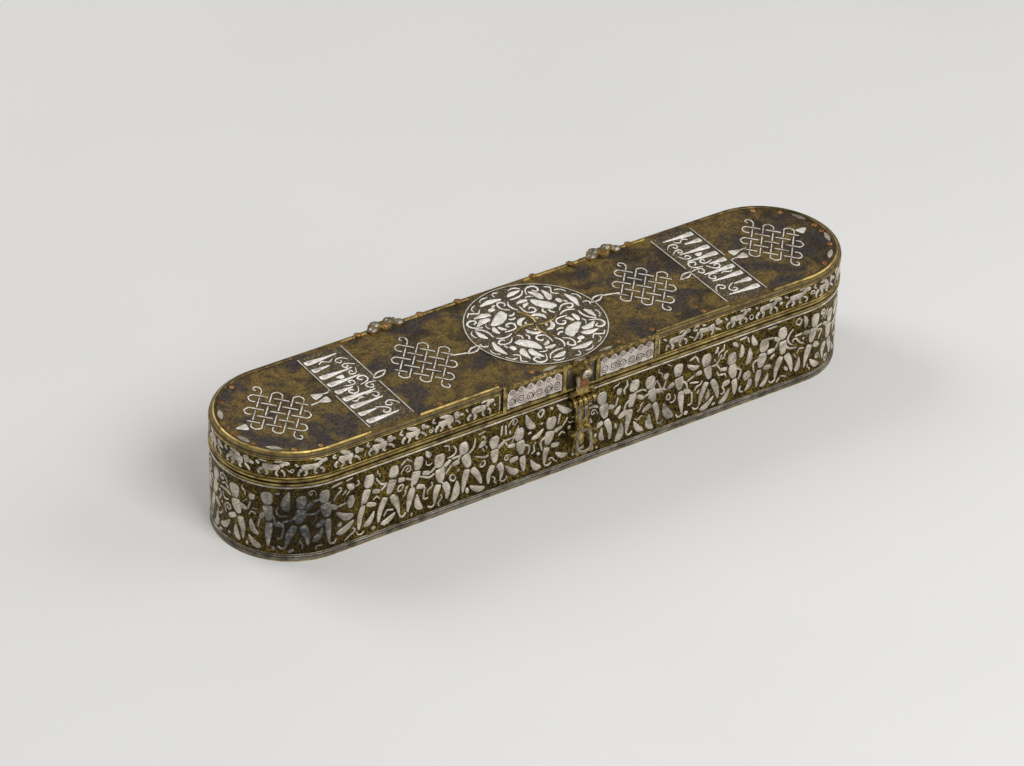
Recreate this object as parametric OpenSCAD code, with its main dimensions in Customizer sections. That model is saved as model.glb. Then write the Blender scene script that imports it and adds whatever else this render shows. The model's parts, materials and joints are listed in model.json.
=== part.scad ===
/* [Box] */
// Length over the two rounded ends
box_length = 240; // [216:1:280]
// Width over the side walls
box_width = 52; // [48:1:60]
// Height of the case, from the table to the seam
case_height = 30.4; // [28:0.1:36]
// Height of the lid, from the seam to its flat top
lid_height = 10.4; // [9.8:0.1:13]
// Sheet thickness of the case wall
case_wall_t = 1.4; // [1.2:0.1:1.8]
// Sheet thickness of the base
base_t = 1.4; // [1:0.1:2]
// How far the base stands out past the wall
base_overhang = 0.35; // [0.1:0.05:0.6]
// Sheet thickness of the lid's flat top
lid_top_t = 1.4; // [1.2:0.1:1.8]
// Rounding of the lid's upper edge
lid_edge_r = 0.95; // [0.5:0.05:1.1]

/* [Seam] */
// Open gap between the two rims when the lid is shut
seam_gap = 0.2; // [0.15:0.05:0.3]
// Height of the beaded rim strip on the case and on the lid
rim_h = 1.2; // [0.9:0.1:1.5]
// How far each beaded rim stands out past its wall
rim_overhang = 0.45; // [0.3:0.05:0.55]
// Sheet thickness of the inner lip that finds the lid
lip_t = 0.8; // [0.6:0.1:1.2]
// How far the lip rises past the seam
lip_rise = 2.2; // [1.5:0.1:3]
// How far the lip reaches down inside the case
lip_depth = 5; // [3:0.5:7]
// Room between the lip and the lid's wall
lip_clearance = 0.35; // [0.3:0.05:0.45]

/* [Ink end] */
// Distance of the bulkhead from the centre of the round end
bulkhead_inset = 25; // [24:0.5:30]
// Sheet thickness of the bulkhead and of the deck
deck_t = 1.2; // [0.8:0.1:1.6]
// Height of the top of the deck
deck_z = 23.2; // [20:0.1:25]
// Inside radius of the ink cup
ink_r = 12.2; // [10:0.1:13]
// Depth of the ink cup below its flange
ink_depth = 19.6; // [12:0.1:20]
// Distance of the ink cup from the centre of the round end
ink_offset = 3; // [0:0.5:5]
// Inside radius of the two small cups
small_r = 4.2; // [3:0.1:5]
// Depth of the two small cups below their flange
small_depth = 15; // [8:0.5:18]
// Distance of each small cup from the inside of the wall
small_inset = 10.1; // [9:0.1:11]
// Distance of the small cups behind the centre of the round end
small_back = 17.5; // [16.5:0.5:18.5]
// Wall thickness of the cups
cup_t = 0.8; // [0.6:0.1:1]
// Width of a cup's flange on the deck
flange_w = 1.4; // [1:0.1:1.6]

/* [Hinges] */
// Distance of each hinge from the centre of the round end
hinge_inset = 50.5; // [46:0.5:56]
// Length of a hinge along the back edge
hinge_w = 16; // [12:0.5:18]
// Outer radius of the hinge barrel
barrel_r = 1.6; // [1.4:0.1:2]
// Radius of the hinge pin
hinge_pin_r = 0.8; // [0.6:0.05:1]
// Sheet thickness of the hinge leaves
leaf_t = 0.9; // [0.7:0.1:1.2]
// Length of the leaf on the back of the case
leaf_drop = 10.5; // [8:0.5:14]
// Gap between neighbouring knuckles
knuckle_gap = 0.25; // [0.2:0.05:0.4]
// Radial room of a leaf that turns on a pin
turning_room = 0.05; // [0.03:0.01:0.08]
// Radial room of a pin or rivet that sits fast
seat_room = 0.02; // [0.01:0.01:0.04]

/* [Clasp] */
// Length of the clasp's barrel
clasp_w = 9.4; // [8:0.1:11]
// Outer radius of the clasp's barrel
clasp_barrel_r = 1.5; // [1.3:0.1:1.7]
// Radius of the clasp's pin
clasp_pin_r = 0.75; // [0.6:0.05:0.9]
// Height of the clasp's pin below the seam
clasp_drop = 3.2; // [3:0.1:4]
// Width of the strap that hangs from the lid
strap_w = 5.2; // [4.4:0.2:6.4]
// Sheet thickness of the strap
strap_t = 1; // [0.8:0.1:1.2]
// Standoff of the strap from the wall
strap_standoff = 0.8; // [0.7:0.05:1]
// How far the strap's tapered nose stands out of the wall
nose_reach = 4; // [3.6:0.1:4.4]
// Width of the nose at the lid
nose_w = 7; // [6:0.2:8]
// Distance of the stud below the lid's flat top
stud_drop = 2.5; // [2.2:0.1:2.8]
// Sheet thickness of the hasp
hasp_t = 1.1; // [0.8:0.1:1.3]
// Room between the latched hasp and the case wall
hasp_wall_room = 0.7; // [0.6:0.05:0.8]
// Width of the hasp's neck
hasp_neck_w = 5.2; // [4.4:0.2:6]
// Distance from the pin to the middle of the hasp's eye
eye_drop = 15.4; // [14:0.1:17]
// Width of the eye
eye_w = 4.2; // [4:0.1:4.6]
// Height of the eye
eye_h = 6.6; // [6.2:0.1:7]
// Radius of the round plate that holds the eye
eye_plate_r = 4.2; // [4:0.1:4.8]
// Radius of the lobes round the plate
lobe_r = 1.1; // [0.9:0.1:1.4]
// How far the hasp hangs away from its latched place, in degrees
hasp_tilt = 7.5; // [7:0.1:9]
// Width of the staple's round knob
staple_w = 3.2; // [2.8:0.1:3.4]
// Height of the knob
staple_h = 5.4; // [5:0.1:5.6]
// How far the knob stands out of the wall
staple_out = 2.6; // [2.2:0.1:2.7]

/* [Front plaques] */
// Distance of a plaque's outer end from the middle
plaque_far = 30.5; // [26:0.5:36]
// Distance of a plaque's inner end from the middle
plaque_near = 5.9; // [5.8:0.1:7]
// How far a plaque stands out of the lid's wall
plaque_t = 0.8; // [0.7:0.05:1]
// Width of a plaque's raised frame
frame_w = 1.3; // [1:0.1:1.6]
// Depth of the field inside the frame
field_sink = 0.4; // [0.3:0.05:0.5]
// Thickness of the silver cartouche
cartouche_t = 0.3; // [0.2:0.05:0.4]
// Number of curls along a cartouche's upper edge
curls = 6; // [4:1:7]
// Number of scallops along a plaque's crest
scallops = 7; // [5:1:10]
// Rise of each scallop above the lid's flat top
crest_rise = 0.9; // [0.6:0.1:1.2]
// Radius of the curls along a cartouche's upper edge
curl_r = 1.25; // [1:0.05:1.5]

/* [Lid dressing] */
// Distance of each ornament band from the centre of the round end
band_inset = 24; // [22:0.5:28]
// Width of an ornament band between its lines
band_w = 16.4; // [14:0.2:18]
// Distance of the roundel's ring from the lid's edge
roundel_inset = 2.1; // [2:0.1:6]
// Width of the silver lines
line_w = 0.6; // [0.4:0.05:0.8]
// How far silver inlay stands above the lid
inlay_t = 0.25; // [0.15:0.05:0.4]
// Width of the border strips
border_w = 1.4; // [1.1:0.1:1.6]
// Thickness of the border strips
border_t = 0.6; // [0.4:0.05:0.8]
// Radius of a copper rivet's head
rivet_r = 0.95; // [0.8:0.05:1.1]
// Height of a copper rivet's head
rivet_h = 0.5; // [0.3:0.05:0.7]
// Radius of a copper rivet's shank
shank_r = 0.6; // [0.4:0.05:0.7]
// Distance of the end and front rivets from the lid's edge
rivet_inset = 3.5; // [3.4:0.1:4.5]
// Radius of the silver caps on the hinge finials
cap_r = 1.45; // [1.2:0.05:1.6]
// Length of the lens-shaped silver pads
pad_l = 5.6; // [4:0.2:7]
// Width of the lens-shaped silver pads
pad_w = 1.7; // [1.2:0.1:1.9]

/* [Hidden] */
$fn = 64;

brass = [0.66, 0.52, 0.27];
dark_brass = [0.42, 0.33, 0.19];
silver = [0.82, 0.80, 0.76];
copper = [0.72, 0.40, 0.27];

half_w = box_width / 2;
end_x = (box_length - box_width) / 2;
lid_z = case_height + seam_gap;
top_z = lid_z + lid_height;
lid_wall_t = case_wall_t - lip_clearance;
inner_r = half_w - case_wall_t;
small_side = inner_r - small_inset;
roundel_r = half_w - roundel_inset;
deck_room = 0.05;
cut = 1;

hinge_x = end_x - hinge_inset;
hinge_y = half_w + barrel_r + leaf_t;
hinge_z = case_height + seam_gap / 2;
knuckles = 5;
hinge_pitch = (hinge_w + knuckle_gap) / knuckles;
arm_root = 0.3;
arm_reach = 2 * barrel_r + arm_root;
pin_head_h = 0.6;
rim_room = 0.2;
leaf_top = case_height - rim_h - rim_room;
leaf_lobe_r = 2.8;
leaf_lobe_edge = 0.3;
leaf_lobe_step = 2.2;
leaf_lobe_x = hinge_w / 2 - leaf_lobe_r - leaf_lobe_edge;
leaf_lobe_z = leaf_top - leaf_drop + leaf_lobe_r + leaf_lobe_step;
lid_leaf_z = lid_z + rim_h + rim_room;
finial_x = 5;
finial_back_x = 2.6;
finial_lobe_r = 1.9;
finial_in = 2.3;
broad_rivet_r = rivet_r + shank_r / 2;

clasp_room = 0.1;
clasp_y = -(half_w + strap_standoff + clasp_barrel_r + clasp_room);
clasp_z = case_height - clasp_drop;
clasp_pitch = (clasp_w + knuckle_gap) / knuckles;
clasp_head_h = 0.7;
nose_lap = 0.3;
nose_brow = 1.2;
stud_r = 2;
stud_cap_r = 1.6;
stud_cap_h = 0.9;
stud_y = -half_w - nose_reach;
stud_z = top_z - stud_drop;
yoke_h = 2.2;
yoke_room = 0.4;
knuckle_lap = 0.6;
ear_rise = 3.9;
ear_bar = 1.7;
lobe_out = 0.2;
lobe_angles = [-162 : 36 : -18];
strip_w = 1.1;
strip_l = 4.4;
strip_margin = 1;
hasp_in = -clasp_y - half_w - hasp_wall_room;
staple_z = clasp_z - eye_drop;

border_edge = 0.1;
border_mid = lid_edge_r + border_edge + border_w / 2;
border_room = 0.5;
border_lead = 4;
border_boss_r = rivet_r + 0.4;
band_x = end_x - band_inset;
band_room = 1;
band_margin = 3;
border_stop = band_x + band_w / 2 + band_room;
border_end = band_x - band_w / 2 - band_room;
rivet_line = half_w - rivet_inset;
front_rivet_mid = 17;
front_rivet_room = 9.8;
front_rivets = [front_rivet_mid, plaque_far + border_room, band_x - band_w / 2 - front_rivet_room];
rear_rivet_mid = 15;
rear_rivet_in = 13.5;
rear_rivet_out = 10.5;
rear_rivets = [rear_rivet_mid, hinge_x - rear_rivet_in, hinge_x + rear_rivet_out];
end_rivets = [-64, -40, -4, 7, 29, 62, 84];
end_pads = [-22, 18, 46];
clasp_pad_x = 11;

ink_x = end_x + ink_offset;
small_x = end_x - small_back;

// Flat outline with two straight sides and round ends
module stadium(length, width) {
    square([length - width, width], center = true);
    for (s = [-1, 1]) translate([s * (length - width) / 2, 0]) circle(d = width);
}

// Carries a profile, drawn as distance from the middle line and height, all round the box
module all_round() {
    for (s = [0, 1]) mirror([s, 0, 0]) half_round() children();
    for (s = [0, 1]) mirror([0, s, 0]) straight(-end_x, end_x) children();
}

// Carries a profile round the right-hand end
module half_round() {
    translate([end_x, 0, 0]) rotate([0, 0, -90]) rotate_extrude(angle = 180) children();
}

// Carries a profile along the back edge between two stations
module straight(from, to) {
    translate([from, 0, 0]) rotate([90, 0, 90]) linear_extrude(to - from) children();
}

// A band of sheet between two distances from the middle line
module sheet(inner, outer, low, high) {
    translate([inner, low]) square([outer - inner, high - low]);
}

// Section of a rim strip with a rounded bead outside
module rim_section(inner, low) {
    sheet(inner, half_w, low, low + rim_h);
    intersection() {
        translate([half_w + rim_overhang - rim_h / 2, low + rim_h / 2]) circle(d = rim_h);
        sheet(inner, half_w + rim_overhang, low, low + rim_h);
    }
}

// Low dome that stands on the floor plane
module dome(r, h) {
    ball = (r * r + h * h) / (2 * h);
    intersection() {
        translate([0, 0, h - ball]) sphere(ball);
        cylinder(r = r, h = h);
    }
}

// Rivet with its head above the floor plane and its shank below
module rivet(r, h, grip) {
    dome(r, h);
    translate([0, 0, -grip]) cylinder(r = shank_r, h = grip);
}

// Hole for a rivet's shank, cut past both faces of what it grips
module rivet_hole(grip) {
    cylinder(r = shank_r + seat_room, h = grip + 2 * cut);
}

// Rod along X, from one station to another
module rod(r, from, to) {
    translate([from, 0, 0]) rotate([0, 90, 0]) cylinder(r = r, h = to - from);
}

// Pointed oval with arcs for sides, standing on the floor plane
module lens(length, width, height) {
    arc = (length * length + width * width) / (4 * width);
    intersection_for(s = [-1, 1]) translate([0, s * (arc - width / 2), 0]) cylinder(r = arc, h = height);
}

// Base and walls of the case

module base_plate() {
    color(dark_brass) linear_extrude(base_t)
        stadium(box_length + 2 * base_overhang, box_width + 2 * base_overhang);
}

module case_wall() {
    color(dark_brass) difference() {
        all_round() sheet(inner_r, half_w, base_t, case_height - rim_h);
        for (s = [-1, 1]) translate([s * hinge_x, 0, 0]) at_leaf_lobes()
            translate([0, 0, -case_wall_t - cut]) rivet_hole(case_wall_t);
    }
}

module case_rim() {
    color(brass) all_round() rim_section(inner_r, case_height - rim_h);
}

module case_lip() {
    color(dark_brass) all_round()
        sheet(inner_r - lip_t, inner_r, case_height - lip_depth, case_height + lip_rise);
}

// Ink end

module inside_end(low, high) {
    intersection() {
        translate([0, 0, low]) linear_extrude(high - low)
            stadium(box_length - 2 * (case_wall_t + deck_room), box_width - 2 * (case_wall_t + deck_room));
        translate([end_x - bulkhead_inset, -half_w, low]) cube([box_length, box_width, high - low]);
    }
}

module ink_bulkhead() {
    wide = box_width - 2 * (case_wall_t + deck_room);
    color(dark_brass) translate([end_x - bulkhead_inset, -wide / 2, base_t])
        cube([deck_t, wide, deck_z - deck_t - base_t]);
}

module ink_deck() {
    color(brass) difference() {
        inside_end(deck_z - deck_t, deck_z);
        translate([ink_x, 0, deck_z - deck_t - cut])
            cylinder(r = ink_r + cup_t + deck_room, h = deck_t + 2 * cut);
        for (s = [-1, 1]) translate([small_x, s * small_side, deck_z - deck_t - cut])
            cylinder(r = small_r + cup_t + deck_room, h = deck_t + 2 * cut);
    }
}

// Spun cup with a flange that hangs on the deck
module cup(r, depth) {
    floor_r = r / 2;
    difference() {
        union() {
            translate([0, 0, -depth]) cylinder(r1 = floor_r + cup_t, r2 = r + cup_t, h = floor_r);
            translate([0, 0, floor_r - depth]) cylinder(r = r + cup_t, h = depth - floor_r);
            cylinder(r = r + cup_t + flange_w, h = cup_t);
        }
        translate([0, 0, cup_t - depth]) cylinder(r1 = floor_r, r2 = r, h = floor_r);
        translate([0, 0, floor_r + cup_t - depth]) cylinder(r = r, h = depth + cut);
    }
}

module ink_cup() {
    color(dark_brass) translate([ink_x, 0, deck_z]) cup(ink_r, ink_depth);
}

module sand_cup() {
    color(dark_brass) translate([small_x, small_side, deck_z]) cup(small_r, small_depth);
}

module paste_cup() {
    color(dark_brass) translate([small_x, -small_side, deck_z]) cup(small_r, small_depth);
}

// Hinges

// Every other knuckle of a barrel, with the arms that carry it
module barrel(first, r, row_w, pitch, arm_y, arm_low, arm_high) {
    for (i = [first : 2 : knuckles - 1]) {
        left = i * pitch - row_w / 2;
        rod(r, left, left + pitch - knuckle_gap);
        translate([left, arm_y[0], arm_low])
            cube([pitch - knuckle_gap, arm_y[1] - arm_y[0], arm_high - arm_low]);
    }
}

// Places of the three round lobes that end a case leaf, each with a rivet
leaf_spots = [[-leaf_lobe_x, leaf_lobe_z], [leaf_lobe_x, leaf_lobe_z], [0, leaf_lobe_z - leaf_lobe_step]];

// Puts children, facing outwards, at the lobes of one case leaf
module at_leaf_lobes() {
    for (p = leaf_spots) translate([p[0], half_w, p[1]]) rotate([-90, 0, 0]) children();
}

module hinge_case_leaf(x) {
    color(brass) translate([x, 0, 0]) difference() {
        union() {
            translate([-hinge_w / 2, half_w, leaf_lobe_z]) cube([hinge_w, leaf_t, leaf_top - leaf_lobe_z]);
            at_leaf_lobes() cylinder(r = leaf_lobe_r, h = leaf_t);
            translate([0, hinge_y, hinge_z]) barrel(0, barrel_r, hinge_w, hinge_pitch,
                [-barrel_r - leaf_t / 3, barrel_r / 2], -arm_reach, -barrel_r / 2);
        }
        translate([0, hinge_y, hinge_z]) rod(hinge_pin_r + seat_room, -hinge_w, hinge_w);
        at_leaf_lobes() translate([0, 0, -cut]) rivet_hole(leaf_t);
    }
}

module hinge_case_leaf_left() { hinge_case_leaf(-hinge_x); }

module hinge_case_leaf_right() { hinge_case_leaf(hinge_x); }

module hinge_pin(x) {
    color(dark_brass) translate([x, hinge_y, hinge_z]) {
        rod(hinge_pin_r, -hinge_w / 2, hinge_w / 2);
        for (s = [-1, 1]) rotate([0, s * 90, 0])
            translate([0, 0, hinge_w / 2]) dome(barrel_r * 0.8, pin_head_h);
    }
}

module hinge_pin_left() { hinge_pin(-hinge_x); }

module hinge_pin_right() { hinge_pin(hinge_x); }

module hinge_case_rivets() {
    color(copper) for (s = [-1, 1]) translate([s * hinge_x, 0, 0]) at_leaf_lobes()
        translate([0, 0, leaf_t]) rivet(broad_rivet_r, rivet_h, leaf_t + case_wall_t);
}

// Places of the round bosses on a hinge's finial
finial_spots = [for (s = [-1, 1], p = [[finial_x, -finial_in], [finial_back_x, 0]])
    [s * p[0], p[1]]];

module hinge_lid_leaf(x) {
    color(brass) translate([x, 0, 0]) difference() {
        union() {
            translate([-hinge_w / 2, half_w, lid_leaf_z])
                cube([hinge_w, leaf_t, top_z - lid_edge_r - lid_leaf_z]);
            translate([-finial_x, half_w, lid_leaf_z])
                cube([2 * finial_x, leaf_t, top_z + leaf_t - lid_leaf_z]);
            translate([-finial_x, half_w - finial_in, top_z])
                cube([2 * finial_x, finial_in + leaf_t, leaf_t]);
            for (p = finial_spots)
                translate([p[0], half_w + p[1], top_z]) cylinder(r = finial_lobe_r, h = leaf_t);
            translate([0, half_w - finial_in, top_z]) cylinder(r = finial_lobe_r, h = leaf_t);
            translate([0, hinge_y, hinge_z]) barrel(1, barrel_r, hinge_w, hinge_pitch,
                [-barrel_r - leaf_t / 3, barrel_r / 2], barrel_r / 2, arm_reach);
        }
        translate([0, hinge_y, hinge_z]) rod(hinge_pin_r + turning_room, -hinge_w, hinge_w);
        translate([0, half_w - finial_in, top_z - cut]) rivet_hole(leaf_t);
    }
}

module hinge_lid_leaf_left() { hinge_lid_leaf(-hinge_x); }

module hinge_lid_leaf_right() { hinge_lid_leaf(hinge_x); }

module hinge_caps() {
    color(silver) for (s = [-1, 1]) for (p = finial_spots)
        translate([s * hinge_x + p[0], half_w + p[1], top_z + leaf_t]) dome(cap_r, cap_r * 0.6);
}

module hinge_lid_rivets() {
    color(copper) for (s = [-1, 1]) translate([s * hinge_x, half_w - finial_in, top_z + leaf_t])
        rivet(rivet_r, rivet_h, leaf_t + lid_top_t);
}

// Lid

module lid_top() {
    finial_rivets = [for (s = [-1, 1]) [s * hinge_x, half_w - finial_in]];
    color(dark_brass) difference() {
        all_round() lid_top_section();
        for (p = concat(field_rivets, border_rivets, finial_rivets))
            translate([p[0], p[1], top_z - lid_top_t - cut]) rivet_hole(lid_top_t);
    }
}

// Section of the lid's flat top, from the middle line to its rounded edge
module lid_top_section() {
    sheet(0, half_w - lid_edge_r, top_z - lid_top_t, top_z);
    sheet(0, half_w, top_z - lid_top_t, top_z - lid_edge_r);
    intersection() {
        translate([half_w - lid_edge_r, top_z - lid_edge_r]) circle(lid_edge_r);
        sheet(0, half_w, top_z - lid_edge_r, top_z);
    }
}

module lid_wall() {
    color(dark_brass) all_round() sheet(half_w - lid_wall_t, half_w, lid_z + rim_h, top_z - lid_top_t);
}

module lid_rim() {
    color(brass) all_round() rim_section(half_w - lid_wall_t, lid_z);
}

// Half-round section of a border strip on the lid
module border_section() {
    intersection() {
        translate([half_w - border_mid, top_z + border_t - border_w / 2]) circle(d = border_w);
        sheet(half_w - border_mid - border_w, half_w, top_z, top_z + border_t);
    }
}

module end_border() {
    half_round() border_section();
    for (s = [0, 1]) mirror([0, s, 0]) straight(border_stop, end_x) border_section();
}

module end_border_left() { color(brass) mirror([1, 0, 0]) end_border(); }

module end_border_right() { color(brass) end_border(); }

module front_border() {
    color(brass) for (s = [0, 1]) mirror([s, 0, 0]) mirror([0, 1, 0])
        straight(plaque_far + border_room, border_end) border_section();
}

module rear_border() {
    inner = hinge_x - finial_x - finial_lobe_r - border_room;
    outer = hinge_x + finial_x + finial_lobe_r + border_room;
    color(brass) for (s = [0, 1]) mirror([s, 0, 0]) difference() {
        union() {
            straight(rear_rivets[0] - border_lead, inner) border_section();
            straight(outer, border_end) border_section();
            for (x = rear_rivets)
                translate([x, half_w - border_mid, top_z]) cylinder(r = border_boss_r, h = border_t);
        }
        for (x = rear_rivets) translate([x, half_w - border_mid, top_z - cut]) rivet_hole(border_t);
    }
}

// Rivets that sit on the bare lid, along the front and round both ends
field_rivets = concat(
    [for (s = [-1, 1], x = front_rivets) [s * x, -rivet_line]],
    [for (s = [-1, 1], a = end_rivets) [s * (end_x + rivet_line * cos(a)), -rivet_line * sin(a)]]);

// Rivets through the strips along the back edge
border_rivets = [for (s = [-1, 1], x = rear_rivets) [s * x, half_w - border_mid]];

module lid_rivets() {
    color(copper) {
        for (p = field_rivets) translate([p[0], p[1], top_z]) rivet(rivet_r, rivet_h, lid_top_t);
        for (p = border_rivets)
            translate([p[0], p[1], top_z + border_t]) rivet(rivet_r, rivet_h, border_t + lid_top_t);
    }
}

module silver_pads() {
    color(silver) {
        for (s = [0, 1]) mirror([s, 0, 0]) for (a = end_pads)
            translate([end_x, 0, top_z]) rotate(-a) translate([rivet_line, 0, 0]) rotate(90)
                lens(pad_l, pad_w, inlay_t);
        for (s = [-1, 1]) translate([s * clasp_pad_x, -(half_w - lid_edge_r - pad_w / 2), top_z])
            lens(pad_l, pad_w * 0.8, inlay_t);
    }
}

module roundel_ring() {
    color(silver) translate([0, 0, top_z]) difference() {
        cylinder(r = roundel_r + line_w / 2, h = inlay_t);
        translate([0, 0, -cut]) cylinder(r = roundel_r - line_w / 2, h = inlay_t + 2 * cut);
    }
}

module band_lines() {
    reach = half_w - lid_edge_r - band_margin;
    link = 1.6;
    color(silver) for (s = [-1, 1], e = [-1, 1], h = [0, 1]) mirror([0, h, 0])
        translate([s * band_x + e * band_w / 2 - line_w / 2, link, top_z])
            cube([line_w, reach - link, inlay_t]);
}

// Plaques on the front of the lid

plaque_low = lid_z + rim_h;
field_top = top_z - frame_w / 2;
field_w = plaque_far - plaque_near - 2 * frame_w;
crest_foot = 0.25;

// One scallop of the crest, cut from a disc and standing in the crest's foot
module scallop(r) {
    intersection() {
        translate([0, 0, crest_rise - r]) rotate([90, 0, 0]) cylinder(r = r, h = plaque_t);
        translate([-r, -plaque_t - cut, crest_foot / 2]) cube([2 * r, plaque_t + 2 * cut, r]);
    }
}

module plaque() {
    crest_near = nose_w / 2 + clasp_room;
    crest_pitch = (plaque_far - crest_near) / scallops;
    crest_r = (crest_pitch * crest_pitch / 4 + crest_rise * crest_rise) / (2 * crest_rise);
    difference() {
        union() {
            translate([plaque_near, -half_w - plaque_t, plaque_low])
                cube([plaque_far - plaque_near, plaque_t, top_z - plaque_low]);
            translate([crest_near, -half_w - plaque_t, field_top])
                cube([plaque_far - crest_near, plaque_t, top_z + crest_foot - field_top]);
            for (i = [0.5 : scallops]) translate([crest_near + i * crest_pitch, -half_w, top_z])
                scallop(crest_r);
        }
        translate([plaque_near + frame_w, -half_w - plaque_t - cut, plaque_low + frame_w / 2])
            cube([field_w, field_sink + cut, field_top - plaque_low - frame_w / 2]);
    }
}

module plaque_left() { color(brass) mirror([1, 0, 0]) plaque(); }

module plaque_right() { color(brass) plaque(); }

module cartouche() {
    margin = 0.4;
    pitch = (field_w - 2 * margin) / curls;
    low = plaque_low + frame_w / 2 + margin;
    high = field_top - margin - curl_r;
    left = plaque_near + frame_w + margin;
    translate([0, -half_w - plaque_t + field_sink, 0]) rotate([90, 0, 0]) linear_extrude(cartouche_t) {
        translate([left, low]) square([field_w - 2 * margin, high - low]);
        for (i = [0.5 : curls]) translate([left + pitch * i, high]) circle(curl_r);
    }
}

module cartouche_left() { color(silver) mirror([1, 0, 0]) cartouche(); }

module cartouche_right() { color(silver) cartouche(); }

// Clasp

// Nose that tapers from the lid's edge to the stud, under a brow that laps onto the lid
module nose() {
    brow_y = -half_w - nose_brow;
    low_z = stud_z - nose_w;
    translate([-nose_w / 2, brow_y, top_z]) cube([nose_w, nose_brow + lid_edge_r + nose_lap, leaf_t]);
    intersection() {
        translate([0, stud_y, stud_z]) rotate([-90, 0, 0])
            cylinder(r1 = stud_r, r2 = nose_w / 2, h = nose_reach - clasp_room);
        translate([-nose_w, stud_y - cut, low_z])
            cube([2 * nose_w, nose_reach + 2 * cut, top_z + leaf_t - low_z]);
    }
}

module clasp_strap() {
    strap_y = -half_w - strap_standoff;
    yoke_low = clasp_z + clasp_barrel_r + yoke_room;
    arm_face = clasp_barrel_r + clasp_room;
    color(brass) difference() {
        union() {
            nose();
            translate([-strap_w / 2, strap_y, lid_z + rim_h + rim_room])
                cube([strap_w, strap_standoff, stud_z - lid_z - rim_h - rim_room]);
            translate([-strap_w / 2, strap_y - strap_t, yoke_low])
                cube([strap_w, strap_t, stud_z - yoke_low]);
            translate([-clasp_w / 2, strap_y - strap_t, yoke_low]) cube([clasp_w, strap_t, yoke_h]);
            translate([0, clasp_y, clasp_z]) barrel(0, clasp_barrel_r, clasp_w, clasp_pitch,
                [arm_face - strap_t, arm_face], 0, clasp_barrel_r + knuckle_lap);
        }
        translate([0, clasp_y, clasp_z]) rod(clasp_pin_r + seat_room, -clasp_w, clasp_w);
        translate([0, strap_y - strap_t - cut, clasp_rivet_z]) rotate([-90, 0, 0])
            rivet_hole(strap_t + strap_standoff);
    }
}

clasp_rivet_z = (lid_z + rim_h + stud_z - nose_w / 2) / 2;

module clasp_stud() {
    color(silver) translate([0, stud_y, stud_z]) rotate([90, 0, 0]) dome(stud_cap_r, stud_cap_h);
}

module clasp_rivet() {
    color(copper) translate([0, -half_w - strap_standoff - strap_t, clasp_rivet_z]) rotate([90, 0, 0])
        rivet(broad_rivet_r, rivet_h, strap_t + strap_standoff);
}

module clasp_pin() {
    color(brass) translate([0, clasp_y, clasp_z]) {
        rod(clasp_pin_r, -clasp_w / 2, clasp_w / 2);
        for (s = [-1, 1]) rotate([0, s * 90, 0])
            translate([0, 0, clasp_w / 2]) dome(clasp_barrel_r * 0.8, clasp_head_h);
    }
}

// Puts children, drawn with the pin at the origin and the hasp hanging straight down, in their place
module hung_from_pin() {
    translate([0, clasp_y, clasp_z]) rotate([-hasp_tilt, 0, 0]) children();
}

// Places of the lobes round the hasp's eye, the two ears first
lobe_ring = eye_plate_r + lobe_out;
lobe_spots = concat([for (s = [-1, 1]) [s * lobe_ring, ear_rise]],
    [for (a = lobe_angles) lobe_ring * [cos(a), sin(a)]]);

// The hasp as a flat shape, with the pin at the origin
module hasp_outline() {
    translate([-hasp_neck_w / 2, -eye_drop]) square([hasp_neck_w, eye_drop - clasp_barrel_r - knuckle_gap]);
    translate([0, -eye_drop]) {
        circle(eye_plate_r);
        for (p = lobe_spots) translate(p) circle(lobe_r);
        translate([-lobe_ring, ear_rise - ear_bar * 0.6]) square([2 * lobe_ring, ear_bar]);
    }
}

module eye_outline() {
    rise = (eye_h - eye_w) / 2;
    translate([0, -eye_drop]) {
        square([eye_w, 2 * rise], center = true);
        for (s = [-1, 1]) translate([0, s * rise]) circle(d = eye_w);
    }
}

module hasp_plate() {
    color(brass) hung_from_pin() difference() {
        union() {
            translate([0, hasp_in, 0]) rotate([90, 0, 0]) linear_extrude(hasp_t) difference() {
                hasp_outline();
                eye_outline();
            }
            barrel(1, clasp_barrel_r, clasp_w, clasp_pitch,
                [hasp_in - hasp_t, hasp_in], -clasp_barrel_r - knuckle_lap, 0);
        }
        rod(clasp_pin_r + turning_room, -clasp_w, clasp_w);
    }
}

module hasp_strips() {
    color(silver) hung_from_pin() for (s = [-1, 1])
        translate([(s * hasp_neck_w / 2 - strip_w) / 2, hasp_in - hasp_t - inlay_t,
            -clasp_barrel_r - strip_margin - strip_l])
            cube([strip_w, inlay_t, strip_l]);
}

// Staple that the eye drops over

module staple() {
    r = staple_w / 2;
    rise = staple_h / 2 - r;
    color(brass) translate([0, -half_w, staple_z]) intersection() {
        union() {
            for (s = [-1, 1]) translate([0, r - staple_out, s * rise]) {
                sphere(r);
                rotate([-90, 0, 0]) cylinder(r = r, h = staple_out);
            }
            translate([0, r - staple_out, -rise]) cylinder(r = r, h = 2 * rise);
            translate([-r, r - staple_out, -rise]) cube([staple_w, staple_out, 2 * rise]);
        }
        translate([-staple_w, -staple_out - cut, -staple_h])
            cube([2 * staple_w, staple_out + cut, 2 * staple_h]);
    }
}

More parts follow.
